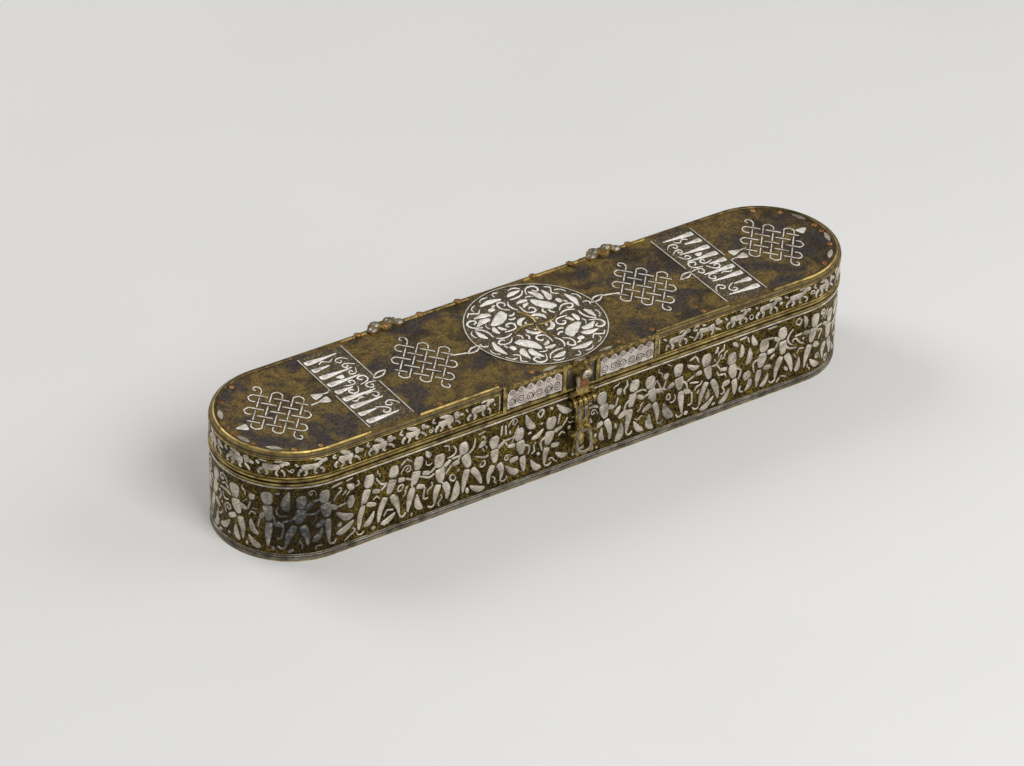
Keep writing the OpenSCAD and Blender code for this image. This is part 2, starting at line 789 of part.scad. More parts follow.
base_plate();
case_wall();
case_rim();
case_lip();
ink_bulkhead();
ink_deck();
ink_cup();
sand_cup();
paste_cup();
hinge_case_leaf_left();
hinge_case_leaf_right();
hinge_pin_left();
hinge_pin_right();
hinge_case_rivets();
staple();
lid_top();
lid_wall();
lid_rim();
end_border_left();
end_border_right();
front_border();
rear_border();
lid_rivets();
silver_pads();
hinge_lid_leaf_left();
hinge_lid_leaf_right();
hinge_caps();
hinge_lid_rivets();
plaque_left();
plaque_right();
cartouche_left();
cartouche_right();
clasp_strap();
clasp_stud();
clasp_rivet();
clasp_pin();
roundel_ring();
band_lines();
hasp_plate();
hasp_strips();
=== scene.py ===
# %% [markdown]
# # An inlaid brass pen box
# A qalamdan is a long metal box with round ends that holds reed pens and ink. This one is brass, hammered
# from sheet, cut back with a chisel and inlaid with silver. The solids come in as a fixed frame, at their
# real size, and this lesson adds what a silversmith adds: the finish of the metal and the inlay itself.

# %% Load the frame
import json
import math
import random

import bmesh
import bpy
from mathutils import Matrix, Quaternion, Vector


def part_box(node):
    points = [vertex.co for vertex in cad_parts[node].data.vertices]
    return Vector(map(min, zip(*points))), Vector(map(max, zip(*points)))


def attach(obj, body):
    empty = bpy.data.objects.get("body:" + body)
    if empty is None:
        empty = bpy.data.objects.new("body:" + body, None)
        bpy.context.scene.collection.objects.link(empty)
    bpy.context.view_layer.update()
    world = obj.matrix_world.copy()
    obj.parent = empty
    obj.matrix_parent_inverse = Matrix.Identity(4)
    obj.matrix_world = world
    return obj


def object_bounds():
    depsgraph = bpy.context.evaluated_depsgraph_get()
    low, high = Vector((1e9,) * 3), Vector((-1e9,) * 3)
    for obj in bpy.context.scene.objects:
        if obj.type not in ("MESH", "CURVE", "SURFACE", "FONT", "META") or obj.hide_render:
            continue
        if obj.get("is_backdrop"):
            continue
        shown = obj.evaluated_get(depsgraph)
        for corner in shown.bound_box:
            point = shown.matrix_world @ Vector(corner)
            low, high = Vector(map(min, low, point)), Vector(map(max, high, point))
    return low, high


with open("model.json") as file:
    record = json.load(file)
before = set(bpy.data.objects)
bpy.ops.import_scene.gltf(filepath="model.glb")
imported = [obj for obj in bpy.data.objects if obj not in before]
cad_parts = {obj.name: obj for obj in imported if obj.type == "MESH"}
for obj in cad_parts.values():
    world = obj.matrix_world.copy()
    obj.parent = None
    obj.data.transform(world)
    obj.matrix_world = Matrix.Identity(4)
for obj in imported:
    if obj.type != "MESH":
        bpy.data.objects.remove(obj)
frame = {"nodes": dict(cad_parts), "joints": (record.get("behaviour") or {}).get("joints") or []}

MM = 0.001
cad_low, cad_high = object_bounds()

# %% [markdown]
# ## Sizes to draw on
# All the inlay follows a surface of the box, so the first step is to measure those surfaces. The boxes of
# the walls and of the lid give the width, the centres of the round ends and the height of each field.

# %% Measure the walls and the lid
half_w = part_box("case_wall")[1].y / MM
end_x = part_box("case_wall")[1].x / MM - half_w
case_low, case_high = (corner.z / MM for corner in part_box("case_wall"))
lid_low, lid_high = (corner.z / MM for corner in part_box("lid_wall"))
top_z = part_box("lid_top")[1].z / MM
round_the_box = 4 * end_x + 2 * math.pi * half_w
roundel_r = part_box("roundel_ring")[1].x / MM
band_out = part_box("band_lines")[1].x / MM
BAND_W, LINE_W = 16.4, 0.6
band_mid = band_out - BAND_W / 2 - LINE_W / 2
print(f"half width {half_w:.1f} mm, ends at {end_x:.1f} mm, {round_the_box:.0f} mm round the box")

# %% [markdown]
# ## The camera
# The picture was taken from the left and above, with a long lens, so lines that are parallel on the box
# stay nearly parallel. A camera looks down its own Z axis, so that axis is tracked from the target back to
# the camera, and a small roll then tips the horizon as in the picture.

# %% Set the camera
AZIMUTH, ELEVATION, ROLL = (math.radians(a) for a in (-34.724, 34.2146, 1.882))
DISTANCE, LENS = 1285.3, 136.5
TARGET = Vector((-8.70, 0.16, 20.46))


def put(name, data):
    """Puts a new object into the scene."""
    made = bpy.data.objects.new(name, data)
    bpy.context.scene.collection.objects.link(made)
    return made


camera = put("camera", bpy.data.cameras.new("camera"))
camera.data.lens, camera.data.sensor_width = LENS, 36
camera.data.clip_start, camera.data.clip_end = 0.1, 20
back = Vector((math.sin(AZIMUTH) * math.cos(ELEVATION), -math.cos(AZIMUTH) * math.cos(ELEVATION),
               math.sin(ELEVATION)))
camera.location = (TARGET + back * DISTANCE) * MM
camera.rotation_mode = "QUATERNION"
camera.rotation_quaternion = back.to_track_quat("Z", "Y") @ Quaternion((0, 0, 1), ROLL)
bpy.context.scene.camera = camera
print("camera at", [round(c, 3) for c in camera.location])

# %% [markdown]
# ## Finishes
# Every metal here is a shader with noise in its colour, its roughness and its bump. A small class keeps
# the wiring out of sight: each call adds one node and hands back its socket, so that a finish reads as a
# recipe. All patterns sit on Object coordinates, so they stay with the box when it is turned or opened, and
# the recipes give their sizes in millimetres.

# %% Make a finish out of few moves
class Finish:
    """A node material, with the moves that the metals of this box are mixed from."""

    def __init__(self, name, metallic):
        self.material = bpy.data.materials.new(name)
        self.material.use_nodes = True
        self.nodes, self.links = self.material.node_tree.nodes, self.material.node_tree.links
        self.shader = self.nodes["Principled BSDF"]
        self.shader.inputs["Metallic"].default_value = metallic
        self.place = self.nodes.new("ShaderNodeTexCoord").outputs["Object"]
        self.axis = self.add("ShaderNodeSeparateXYZ", {"Vector": self.place}).node.outputs

    def add(self, kind, inputs, output=0, **settings):
        """One node with its inputs linked or set."""
        node = self.nodes.new(kind)
        for key, value in settings.items():
            setattr(node, key, value)
        for key, value in inputs.items():
            if isinstance(value, bpy.types.NodeSocket):
                self.links.new(value, node.inputs[key])
            else:
                node.inputs[key].default_value = value
        return node.outputs[output]

    def noise(self, size, detail=4, twist=0.0):
        """Soft noise whose patches are about size millimetres wide."""
        return self.add("ShaderNodeTexNoise", {"Vector": self.place, "Scale": 1 / (size * MM),
                                               "Detail": detail, "Roughness": 0.6, "Distortion": twist})

    def clouds(self, size, tones, detail=7, twist=0.4):
        """Tones spread over such noise."""
        return self.ramp(self.noise(size, detail, twist), tones)

    def cells(self, size):
        """Distance from the nearest of many scattered points, about size millimetres apart."""
        return self.add("ShaderNodeTexVoronoi", {"Vector": self.place, "Scale": 1 / (size * MM)}, "Distance")

    def folds(self, apart):
        """Wavering parallel lines, about apart millimetres from each other along the box."""
        return self.add("ShaderNodeTexWave", {"Vector": self.place, "Scale": math.pi / (5 * apart * MM),
                                              "Distortion": 5.0, "Detail": 2.0, "Detail Scale": 0.8},
                        "Fac", bands_direction="DIAGONAL")

    def streaks(self, slant, length, width):
        """Noise drawn out into streaks on the lid, at a slant in degrees, sizes in millimetres."""
        drawn = self.add("ShaderNodeMapping", {"Vector": self.place, "Rotation": (0, 0, math.radians(slant)),
                                               "Scale": (length, width, width)}, vector_type="TEXTURE")
        return self.add("ShaderNodeTexNoise", {"Vector": drawn, "Scale": 1 / MM, "Detail": 3.0})

    def maths(self, operation, a, b=0.0, c=0.0):
        return self.add("ShaderNodeMath", {0: a, 1: b, 2: c}, operation=operation)

    def both(self, a, b):
        """The product of two values, which is 1 where two masks are 1."""
        return self.maths("MULTIPLY", a, b)

    def off(self, a, b=0.0):
        """How far a is from b, to either side."""
        return self.maths("ABSOLUTE", self.maths("SUBTRACT", a, b))

    def ripples(self, phase, tones):
        """Tones along a sine wave."""
        return self.ramp(self.maths("MULTIPLY_ADD", self.maths("SINE", phase), 0.5, 0.5), tones)

    def ramp(self, factor, stops):
        """Colours or grey values along a factor, as pairs of place and colour."""
        node = self.nodes.new("ShaderNodeValToRGB")
        elements = node.color_ramp.elements
        while len(elements) < len(stops):
            elements.new(0.5)
        for element, (at, colour) in zip(elements, stops):
            element.position = at
            element.color = (colour,) * 3 + (1,) if isinstance(colour, float) else (*colour, 1)
        self.links.new(factor, node.inputs["Fac"])
        return node.outputs["Color"]

    def mix(self, factor, a, b, kind="MIX"):
        colours = {key: (*c, 1) if isinstance(c, tuple) else c for key, c in (("Color1", a), ("Color2", b))}
        return self.add("ShaderNodeMixRGB", {"Fac": factor, **colours}, blend_type=kind)

    def shade(self, factor, a, b):
        """One colour darkened by another."""
        return self.mix(factor, a, b, "MULTIPLY")

    def length(self, x, y):
        """Length of a flat vector."""
        flat = self.add("ShaderNodeCombineXYZ", {"X": x, "Y": y, "Z": 0.0})
        return self.add("ShaderNodeVectorMath", {0: flat}, "Value", operation="LENGTH")

    def finish(self, colour, rough, height, depth, detail=4):
        """Feeds the shader: colour, roughness as its size, low and high, and a bump with its depth."""
        size, low, high = rough
        bump = {"Height": height, "Distance": depth * MM, "Strength": 1.0}
        fed = {"Base Color": colour, "Roughness": self.clouds(size, [(0.3, low), (0.7, high)], detail, 0.0),
               "Normal": self.add("ShaderNodeBump", bump, "Normal")}
        for key, socket in fed.items():
            self.links.new(socket, self.shader.inputs[key])
        return self.material


print("finish kit ready")

# %% [markdown]
# ## Floor and light
# A studio table is a pale sweep under large soft lamps. Metal shows what is round it, so the lamps are
# broad and the world is a plain pale grey: the brass then keeps its own colour and gets soft gleams.

# %% Lay the floor and hang the lamps
PAPER = [(0.0, (0.66, 0.655, 0.645)), (1.0, (0.70, 0.695, 0.685))]
LAMPS = {"key lamp": ((0.0, -0.98, 0.95), 0.7, 11), "fill lamp": ((0.95, -0.45, 0.6), 0.8, 5),
         "rear lamp": ((-0.50, 0.95, 0.85), 0.7, 7)}


def to_mesh(name, bm):
    """Turns a bmesh into a mesh."""
    mesh = bpy.data.meshes.new(name)
    bm.to_mesh(mesh)
    bm.free()
    return mesh


sweep = bmesh.new()
bmesh.ops.create_grid(sweep, x_segments=4, y_segments=4, size=3)
floor = put("floor", to_mesh("floor", sweep))
paper = Finish("paper sweep", 0.0)
paper.shader.inputs["Roughness"].default_value = 0.85
fibre = paper.add("ShaderNodeTexNoise", {"Vector": paper.place, "Scale": 9})
paper.links.new(paper.ramp(fibre, PAPER), paper.shader.inputs["Base Color"])
floor.data.materials.append(paper.material)
floor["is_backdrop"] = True

for name, (place, size, power) in LAMPS.items():
    lamp = put(name, bpy.data.lights.new(name, "AREA"))
    lamp.data.size, lamp.data.energy = size, power
    lamp.location, lamp.rotation_mode = place, "QUATERNION"
    lamp.rotation_quaternion = Vector(place).to_track_quat("Z", "Y")
world = bpy.data.worlds.new("studio")
bpy.context.scene.world = world
world.use_nodes = True
sky = world.node_tree.nodes["Background"].inputs
sky["Color"].default_value, sky["Strength"].default_value = (0.82, 0.81, 0.79, 1), 0.42
bpy.context.scene.view_settings.view_transform = "Standard"
print("lamps:", list(LAMPS))

# %% [markdown]
# ### Lid metal
# The lid was left bare and has aged in patches: brown over gold, with violet and blue-black stains and
# many fine scratches. Inside the roundel and the two bands the ground was roughened and blackened so that
# the silver stands out, and masks on the lid's own coordinates find those fields.

# %% Mix the lid's finish
UMBER = (0.044, 0.030, 0.016)
BROWN = (0.090, 0.059, 0.025)
OLD_GOLD = (0.232, 0.152, 0.038)
VIOLET = (0.046, 0.040, 0.047)
PITCH = (0.086, 0.066, 0.041)
STIPPLE_GOLD = (0.300, 0.225, 0.100)
BAND_END, EDGE_GOLD = 3.4, 0.95
EDGE_TONES = [(0.06, (0.030, 0.021, 0.009)), (0.16, (0.300, 0.236, 0.130)), (0.34, (0.250, 0.190, 0.090)),
              (0.44, (0.040, 0.028, 0.010)), (0.66, (0.100, 0.068, 0.022)), (0.96, (0.220, 0.152, 0.046))]
SCRATCHES = ((28, 0.60), (-47, 0.63), (75, 0.64))


def past(f, start):
    """A mask that is 1 further than start millimetres from the box's middle line, round the ends too."""
    past_end = f.maths("MAXIMUM", f.maths("SUBTRACT", f.off(f.axis["X"]), end_x * MM), 0.0)
    return f.maths("GREATER_THAN", f.length(past_end, f.axis["Y"]), start * MM)


def lid_fields(f):
    """A mask that is 1 inside the roundel and inside the two ornament bands."""
    in_roundel = f.maths("LESS_THAN", f.length(f.axis["X"], f.axis["Y"]), (roundel_r - LINE_W / 2) * MM)
    beside = f.maths("LESS_THAN", f.off(f.off(f.axis["X"]), band_mid * MM), BAND_W / 2 * MM)
    across = f.maths("LESS_THAN", f.off(f.axis["Y"]), (half_w - BAND_END) * MM)
    on_top = f.maths("GREATER_THAN", f.axis["Z"], (top_z - 0.2) * MM)
    return f.both(f.maths("MAXIMUM", in_roundel, f.both(beside, across)), on_top)


def lid_metal():
    f = Finish("aged lid brass", 0.6)
    patches = f.clouds(11, [(0.36, UMBER), (0.47, BROWN), (0.57, OLD_GOLD), (0.70, BROWN)], 10, 0.7)
    rubbed = f.clouds(2.4, [(0.36, BROWN), (0.54, OLD_GOLD)], 8, 0.0)
    tone = f.mix(f.clouds(40, [(0.44, 0.0), (0.60, 0.8)], 3, 0.3), patches, rubbed)
    stained = f.mix(f.clouds(13, [(0.50, 0.0), (0.59, 0.85)], 10, 0.5), tone, VIOLET)
    pits = f.clouds(0.7, [(0.38, 0.30), (0.55, 1.15)], 7, 0.3)
    scored = f.shade(0.9, stained, pits)
    for slant, start in SCRATCHES:
        scratch = f.ramp(f.streaks(slant, 5.0, 0.25), [(start, 0.0), (start + 0.05, 0.5)])
        scored = f.mix(scratch, scored, OLD_GOLD)
    face = f.mix(lid_fields(f), scored, f.ramp(f.cells(0.95), [(0.20, STIPPLE_GOLD), (0.44, PITCH)]))
    height = f.maths("DIVIDE", f.maths("SUBTRACT", f.axis["Z"], lid_high * MM), (top_z - lid_high) * MM)
    edge = f.shade(0.8, f.ramp(height, EDGE_TONES), f.clouds(3.0, [(0.36, 0.30), (0.60, 1.0)]))
    colour = f.mix(past(f, half_w - EDGE_GOLD), face, edge)
    return f.finish(colour, (4, 0.42, 0.64), pits, 0.05, 6)


LID_METAL = lid_metal()
print("mixed", LID_METAL.name)

# %% [markdown]
# ### Chased ground
# Behind the silver figures the wall was chased with small scrolls, and dirt has filled them. Rings round
# scattered points look much like such scrolls at this size, and finer grains stand for the matting punch.
# A larger noise lets the gold wear through. The inside of the walls is plain, so the pattern is kept to
# points that lie far enough from the box's middle line. Behind the clasp the lid's wall is painted nearly
# black, as painted shade in the recess there. One corner of the case, which has lain in the damp, is
# nearly black too.

# %% Mix the ground behind the inlay
GOLD_GROUND = [(0.34, (0.084, 0.055, 0.008)), (0.50, (0.205, 0.137, 0.019)), (0.66, (0.385, 0.266, 0.040))]
INSIDE_TONES = [(0.34, (0.055, 0.038, 0.020)), (0.50, (0.130, 0.092, 0.042)), (0.66, (0.210, 0.150, 0.066))]
OUTER_SKIN = 0.5
CLASP_RECESS = 6.0
# Soot-black for the damp corner; the same colour is painted shade behind the clasp.
SOOT_AND_SHADE = (0.022, 0.016, 0.008)
DAMP_CORNER, DAMP_REACH = (-0.105, -0.0245, 0.015), 0.022


def outer_face(f):
    """A mask that is 1 on the outside of the walls and 0 on their inside."""
    return past(f, half_w - OUTER_SKIN)


def clasp_recess_shade(f):
    """A mask of painted shade: 1 on the lid's wall between the two plaques, in the recess behind the clasp.
    """
    beside = f.maths("LESS_THAN", f.off(f.axis["X"]), CLASP_RECESS * MM)
    in_front = f.maths("LESS_THAN", f.axis["Y"], 0.0)
    return f.both(f.both(beside, in_front), f.maths("GREATER_THAN", f.axis["Z"], (lid_low - 0.1) * MM))


def damp_corner(f, strength):
    """A mask that fades out round the corner of the box that has lain in the damp."""
    away = f.add("ShaderNodeVectorMath", {0: f.place, 1: DAMP_CORNER}, "Value", operation="DISTANCE")
    return f.ramp(f.maths("DIVIDE", away, DAMP_REACH), [(0.35, strength), (1.0, 0.0)])


def inside_metal(f):
    """The plain metal inside the box: large clouds of tarnish under fine wear."""
    return f.shade(0.6, f.clouds(12, INSIDE_TONES), f.clouds(1.0, [(0.34, 0.5), (0.5, 1.0)], 5, 0.0))


def chased_ground():
    f = Finish("chased ground", 0.9)
    lines = f.ripples(f.maths("MULTIPLY", f.cells(2.1), 14.0), [(0.25, 0.16), (0.60, 1.0)])
    grains = f.ramp(f.cells(0.62), [(0.22, 1.0), (0.58, 0.34)])
    gold = f.shade(0.9, f.clouds(6, GOLD_GROUND, 6, 0.5), grains)
    # Painted shade: the lid's wall behind the clasp is darkened almost to black.
    chased = f.mix(f.both(clasp_recess_shade(f), 0.9), f.shade(0.9, gold, lines), SOOT_AND_SHADE)
    chased = f.mix(damp_corner(f, 0.75), chased, SOOT_AND_SHADE)
    return f.finish(f.mix(outer_face(f), inside_metal(f), chased), (2, 0.36, 0.62), lines, 0.06)


GROUND = chased_ground()
print("mixed", GROUND.name)

# %% [markdown]
# ### Worn brass and copper
# Handled brass is bright on its edges and brown where hands don't reach. Three sizes of noise make its
# clouds, its grime and its specks. The rivets are plain copper, dull and a little red.

# %% Mix the brass and the copper
CLOUD_STEPS = (0.34, 0.48, 0.64)


def worn_metal(name, tones, grain, rough_low, rough_high, metallic=0.85):
    """Metal with clouds of tarnish, patches of grime and fine specks, from three tones."""
    f = Finish(name, metallic)
    grime = f.clouds(grain * 3, [(0.36, 0.35), (0.54, 1.0)], 6, 0.3)
    specks = f.clouds(grain * 0.14, [(0.34, 0.35), (0.48, 1.0)], 4, 0.0)
    colour = f.shade(0.7, f.shade(0.8, f.clouds(grain, list(zip(CLOUD_STEPS, tones))), grime), specks)
    return f.finish(colour, (grain * 0.4, rough_low, rough_high), f.noise(grain * 0.15), 0.05)


BRASS = worn_metal("worn brass", ((0.12, 0.076, 0.020), (0.34, 0.236, 0.070), (0.56, 0.415, 0.150)),
                   3.0, 0.34, 0.55)
KNOB_GOLD = worn_metal("knob gold", ((0.30, 0.200, 0.055), (0.60, 0.435, 0.145), (0.80, 0.620, 0.270)),
                       2.0, 0.22, 0.42)
DULL_BRASS = worn_metal("dull brass", ((0.060, 0.042, 0.020), (0.150, 0.105, 0.044), (0.270, 0.195, 0.085)),
                        8.0, 0.38, 0.60)
COPPER = worn_metal("old copper", ((0.12, 0.050, 0.016), (0.31, 0.138, 0.045), (0.47, 0.240, 0.090)),
                    1.6, 0.44, 0.64)
INK_STAIN = worn_metal("ink-stained brass",
                       ((0.014, 0.012, 0.012), (0.075, 0.052, 0.028), (0.17, 0.120, 0.055)), 6.0, 0.42, 0.66)
# Painted shade: the dark brown of the plates in the recess beside the strap.
RECESS_SHADE = worn_metal("recess brown",
                          ((0.030, 0.024, 0.014), (0.082, 0.066, 0.038), (0.150, 0.118, 0.062)),
                          4.0, 0.45, 0.65, 0.5)
# Dark mastic for engraved cuts and dots; as the skin under inlay it is also painted shade round each piece.
MASTIC_AND_GAP_SHADE = worn_metal("dark mastic", ((0.014, 0.010, 0.004), (0.032, 0.022, 0.009), (0.060, 0.042, 0.016)),
                        2.0, 0.55, 0.75, 0.3)
print("mixed", len(bpy.data.materials), "finishes so far")

# %% [markdown]
# Four pieces of brass need more. The rims are darker at the seam where they meet and towards their far
# edges. The base has a gold foot under an edge of grey metal with slanting cuts. The clasp's bronze is
# painted dark between the knuckles of its hinge: painted shade in the gaps. The strips round the lid are
# brown on top, and rubbed to gold along most of the outer edge.

# %% Mix the rims, the base, the clasp and the border
KNUCKLE, KNUCKLE_REACH = 1.9, 1.8
CUT_PITCH, CUT_SLANT, FOOT = 1.1, 2.5, 0.4
BORDER_GOLD, DULL_MIDDLE, DULL_REACH = 0.5, 47, 42


def rim_brass():
    f = Finish("rim brass", 0.8)
    seam_z = (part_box("case_rim")[1].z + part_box("lid_rim")[0].z) / 2
    off_seam = f.maths("DIVIDE", f.off(f.axis["Z"], seam_z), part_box("lid_rim")[1].z - seam_z)
    # Darker at the seam between lid and case, and towards the rims' far edges.
    darker_at_joins = f.ramp(off_seam, [(0.22, 0.05), (0.45, 1.0), (0.72, 0.9), (0.95, 0.2)])
    gold = f.clouds(5, [(0.34, (0.10, 0.066, 0.019)), (0.48, (0.30, 0.212, 0.062)),
                        (0.66, (0.54, 0.405, 0.140))])
    return f.finish(f.shade(0.95, gold, darker_at_joins), (1.5, 0.32, 0.52), f.noise(0.7), 0.05)


def base_edge():
    f = Finish("base edge", 0.7)
    slant = f.maths("MULTIPLY_ADD", f.axis["Z"], CUT_SLANT, f.maths("SUBTRACT", f.axis["X"], f.axis["Y"]))
    cuts = f.ripples(f.both(slant, 2 * math.pi / (CUT_PITCH * MM)), [(0.15, 0.35), (0.50, 1.0)])
    grey = f.clouds(4, [(0.36, (0.100, 0.086, 0.062)), (0.62, (0.330, 0.295, 0.235))], 6)
    gold = f.clouds(3, [(0.36, (0.130, 0.090, 0.026)), (0.62, (0.420, 0.305, 0.100))], 6)
    edge = f.mix(f.maths("LESS_THAN", f.axis["Z"], FOOT * MM), f.shade(0.9, grey, cuts), gold)
    colour = f.mix(outer_face(f), inside_metal(f), edge)
    return f.finish(colour, (1.5, 0.38, 0.58), f.mix(outer_face(f), f.noise(0.8, 5), cuts), 0.05)


def clasp_bronze():
    f = Finish("clasp bronze", 0.85)
    turn = f.maths("FRACT", f.maths("MULTIPLY_ADD", f.axis["X"], 1 / (KNUCKLE * MM), 0.5))
    # Painted shade: the bronze is darkened in the gaps between the hinge's knuckles, near the pin.
    knuckle_gap_shade = f.ramp(f.both(f.off(turn, 0.5), 2.0), [(0.62, 1.0), (0.86, 0.05)])
    pin_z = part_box("clasp_pin")[0].lerp(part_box("clasp_pin")[1], 0.5).z
    near = f.maths("LESS_THAN", f.off(f.axis["Z"], pin_z), KNUCKLE_REACH * MM)
    bronze = f.clouds(1.8, [(0.38, (0.045, 0.028, 0.009)), (0.50, (0.180, 0.122, 0.036)),
                            (0.64, (0.500, 0.365, 0.122))])
    colour = f.shade(0.95, bronze, f.mix(near, (1.0, 1.0, 1.0), knuckle_gap_shade))
    return f.finish(colour, (0.8, 0.28, 0.50), f.noise(0.4), 0.04)


def border_brass():
    f = Finish("border brass", 0.75)
    outer = -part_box("front_border")[0].y / MM
    brown = f.clouds(3.0, [(0.36, UMBER), (0.50, (0.090, 0.062, 0.026)),
                           (0.64, (0.180, 0.124, 0.042))], 8, 0.5)
    gold = f.clouds(4.0, [(0.34, (0.170, 0.115, 0.034)), (0.58, (0.560, 0.410, 0.140))])
    off_dull = f.maths("DIVIDE", f.off(f.axis["X"], DULL_MIDDLE * MM), DULL_REACH * MM)
    rubbed = f.both(past(f, outer - BORDER_GOLD), f.ramp(off_dull, [(0.88, 0.25), (1.0, 1.0)]))
    return f.finish(f.mix(rubbed, brown, gold), (1.5, 0.32, 0.55), f.noise(0.6, 5), 0.06)


RIM, BASE_EDGE, BRONZE, BORDER = rim_brass(), base_edge(), clasp_bronze(), border_brass()
print("mixed", [m.name for m in (RIM, BASE_EDGE, BRONZE, BORDER)])

# %% [markdown]
# ### Silver
# Silver sheet tarnishes to grey in clouds, and here and there to slate. The strokes of the graver show as
# fine dark lines in patches, like the folds of a dress, and a wave that wavers draws them. Near the damp
# corner silver is nearly black. The silver lines of the roundel and the bands are bright along the middle,
# and dark where they meet the lid.

# %% Mix the silver
SLATE = (0.030, 0.032, 0.036)


def silver_sheet(name, tones, soot, grave, metallic=0.5):
    """Silver in three tones, with an amount of slate tarnish and engraved lines grave millimetres apart."""
    f = Finish(name, metallic)
    plain = f.clouds(2.6, [(0.46, 0.0), (0.58, 1.0)], 3, 0.0)
    graver = f.maths("MAXIMUM", f.ramp(f.folds(grave), [(0.03, 0.25), (0.12, 1.0)]), plain)
    cut = f.shade(0.7, f.clouds(4, list(zip(CLOUD_STEPS, tones))), graver)
    worn = f.shade(0.65, cut, f.clouds(0.5, [(0.34, 0.45), (0.46, 1.0)], 4, 0.0))
    patches = f.clouds(24, [(0.58, 0.0), (0.70, soot * 0.6)], 4, 0.3)
    damp = f.shade(0.8, damp_corner(f, soot), f.clouds(1.4, [(0.48, 1.0), (0.68, 0.45)], 5, 0.0))
    colour = f.mix(f.maths("MAXIMUM", patches, damp), worn, SLATE)
    return f.finish(colour, (2.5, 0.36, 0.56), f.noise(1.0), 0.05)


def line_silver():
    f = Finish("line silver", 0.4)
    off_ring = f.off(f.length(f.axis["X"], f.axis["Y"]), (roundel_r - LINE_W / 2) * MM)
    off_in, off_out = (f.off(f.off(f.axis["X"]), (band_mid + side * BAND_W / 2) * MM) for side in (-1, 1))
    nearest = f.maths("MINIMUM", off_ring, f.maths("MINIMUM", off_in, off_out))
    middle = f.clouds(4, [(0.36, (0.40, 0.355, 0.285)), (0.60, (0.76, 0.705, 0.610))])
    beside = f.ramp(f.maths("DIVIDE", nearest, LINE_W / 2 * MM), [(0.60, 0.0), (0.80, 1.0)])
    return f.finish(f.mix(beside, middle, UMBER), (2.5, 0.36, 0.56), f.noise(1.0), 0.04)


SILVER = silver_sheet("lid silver", ((0.64, 0.600, 0.530), (0.90, 0.860, 0.785), (0.97, 0.945, 0.890)),
                      0.2, 1.3, 0.25)
WALL_SILVER = silver_sheet("wall silver", ((0.29, 0.252, 0.196), (0.51, 0.452, 0.360), (0.70, 0.630, 0.518)),
                           0.96, 1.2)
PINK_SILVER = silver_sheet("cartouche silver",
                           ((0.38, 0.325, 0.280), (0.58, 0.505, 0.440), (0.71, 0.640, 0.570)), 0.1, 0.9)
BOSS_SILVER = silver_sheet("boss silver", ((0.10, 0.086, 0.064), (0.23, 0.202, 0.158), (0.40, 0.362, 0.296)),
                           0.2, 1.1, 0.7)
KNOT_SILVER = silver_sheet("knot silver", ((0.48, 0.430, 0.350), (0.72, 0.665, 0.570), (0.86, 0.810, 0.720)),
                           0.1, 3.0, 0.35)
LINE_SILVER = line_silver()
print("mixed", len(bpy.data.materials), "finishes so far")

# %% [markdown]
# ### Plaques
# The plaques beside the clasp have bright frames round a field that is sunk and dark: partly dark brass,
# partly painted shade under the lid's overhanging edge. The field lies a little deeper than the frame, so
# its depth alone tells the two apart. Then every solid gets its finish.

# %% Mix the plaques' finish and dress the solids
def plaque_brass():
    f = Finish("plaque brass", 0.8)
    sunk = f.maths("GREATER_THAN", f.axis["Y"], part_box("plaque_right")[0].y + 0.2 * MM)
    bright = f.clouds(2.5, [(0.34, (0.07, 0.046, 0.014)), (0.48, (0.23, 0.160, 0.046)),
                            (0.64, (0.46, 0.335, 0.110))])
    # The sunk field: partly dark brass, partly painted shade under the lid's overhanging edge.
    dark = f.clouds(1.2, [(0.36, (0.030, 0.022, 0.012)), (0.60, (0.130, 0.092, 0.034))], 6, 0.0)
    return f.finish(f.mix(sunk, bright, dark), (1.5, 0.32, 0.55), f.noise(0.7), 0.05)


FINISHES = [
    (GROUND, "case_wall lid_wall"), (LID_METAL, "lid_top"), (plaque_brass(), "plaque_left plaque_right"),
    (RIM, "case_rim lid_rim"), (BASE_EDGE, "base_plate"), (DULL_BRASS, "case_lip ink_bulkhead ink_deck"),
    (INK_STAIN, "ink_cup sand_cup paste_cup"), (BRONZE, "clasp_strap clasp_pin hasp_plate"),
    (COPPER, "lid_rivets hinge_case_rivets hinge_lid_rivets clasp_rivet"), (KNOB_GOLD, "staple"),
    (WALL_SILVER, "silver_pads clasp_stud"), (BOSS_SILVER, "hinge_caps hasp_strips"),
    (PINK_SILVER, "cartouche_left cartouche_right"), (LINE_SILVER, "roundel_ring band_lines"),
    (BORDER, "front_border end_border_left end_border_right"),
]
finish_of = {name: finish for finish, names in FINISHES for name in names.split()}
for name, solid in frame["nodes"].items():
    solid.data.materials.clear()
    solid.data.materials.append(finish_of.get(name, BRASS))
print("dressed", len(frame["nodes"]), "solids")

# %% [markdown]
# ## Laying inlay
# An inlayer cuts a piece of silver sheet or wire, beats it into its groove, and dresses it to a low plate
# with soft edges. Here each piece starts as a six-sided blank, made once by an operator and then copied.
# The blank's axis is drawn out along a curve through a few given points, its girth is set by a list of
# widths, and its underside is sunk into the metal. One helper then lays wire, leaves, limbs and plates.

# %% Draw one stroke of inlay
SINK = 0.18
SIDES, FEWEST_RINGS = 6, 8
BLUNT_END, FLAT_TOP = 0.17, 0.5
NEAR = 0.02


def blank(rings):
    """A round blank with a number of rings, made once and kept as a mesh to copy."""
    name = f"blank of {rings}"
    if name not in bpy.data.meshes:
        bm = bmesh.new()
        bmesh.ops.create_uvsphere(bm, u_segments=SIDES, v_segments=rings, radius=1)
        bmesh.ops.rotate(bm, verts=bm.verts, cent=(0, 0, 0), matrix=Matrix.Rotation(math.pi / SIDES, 3, "Z"))
        to_mesh(name, bm)
    return bpy.data.meshes[name]


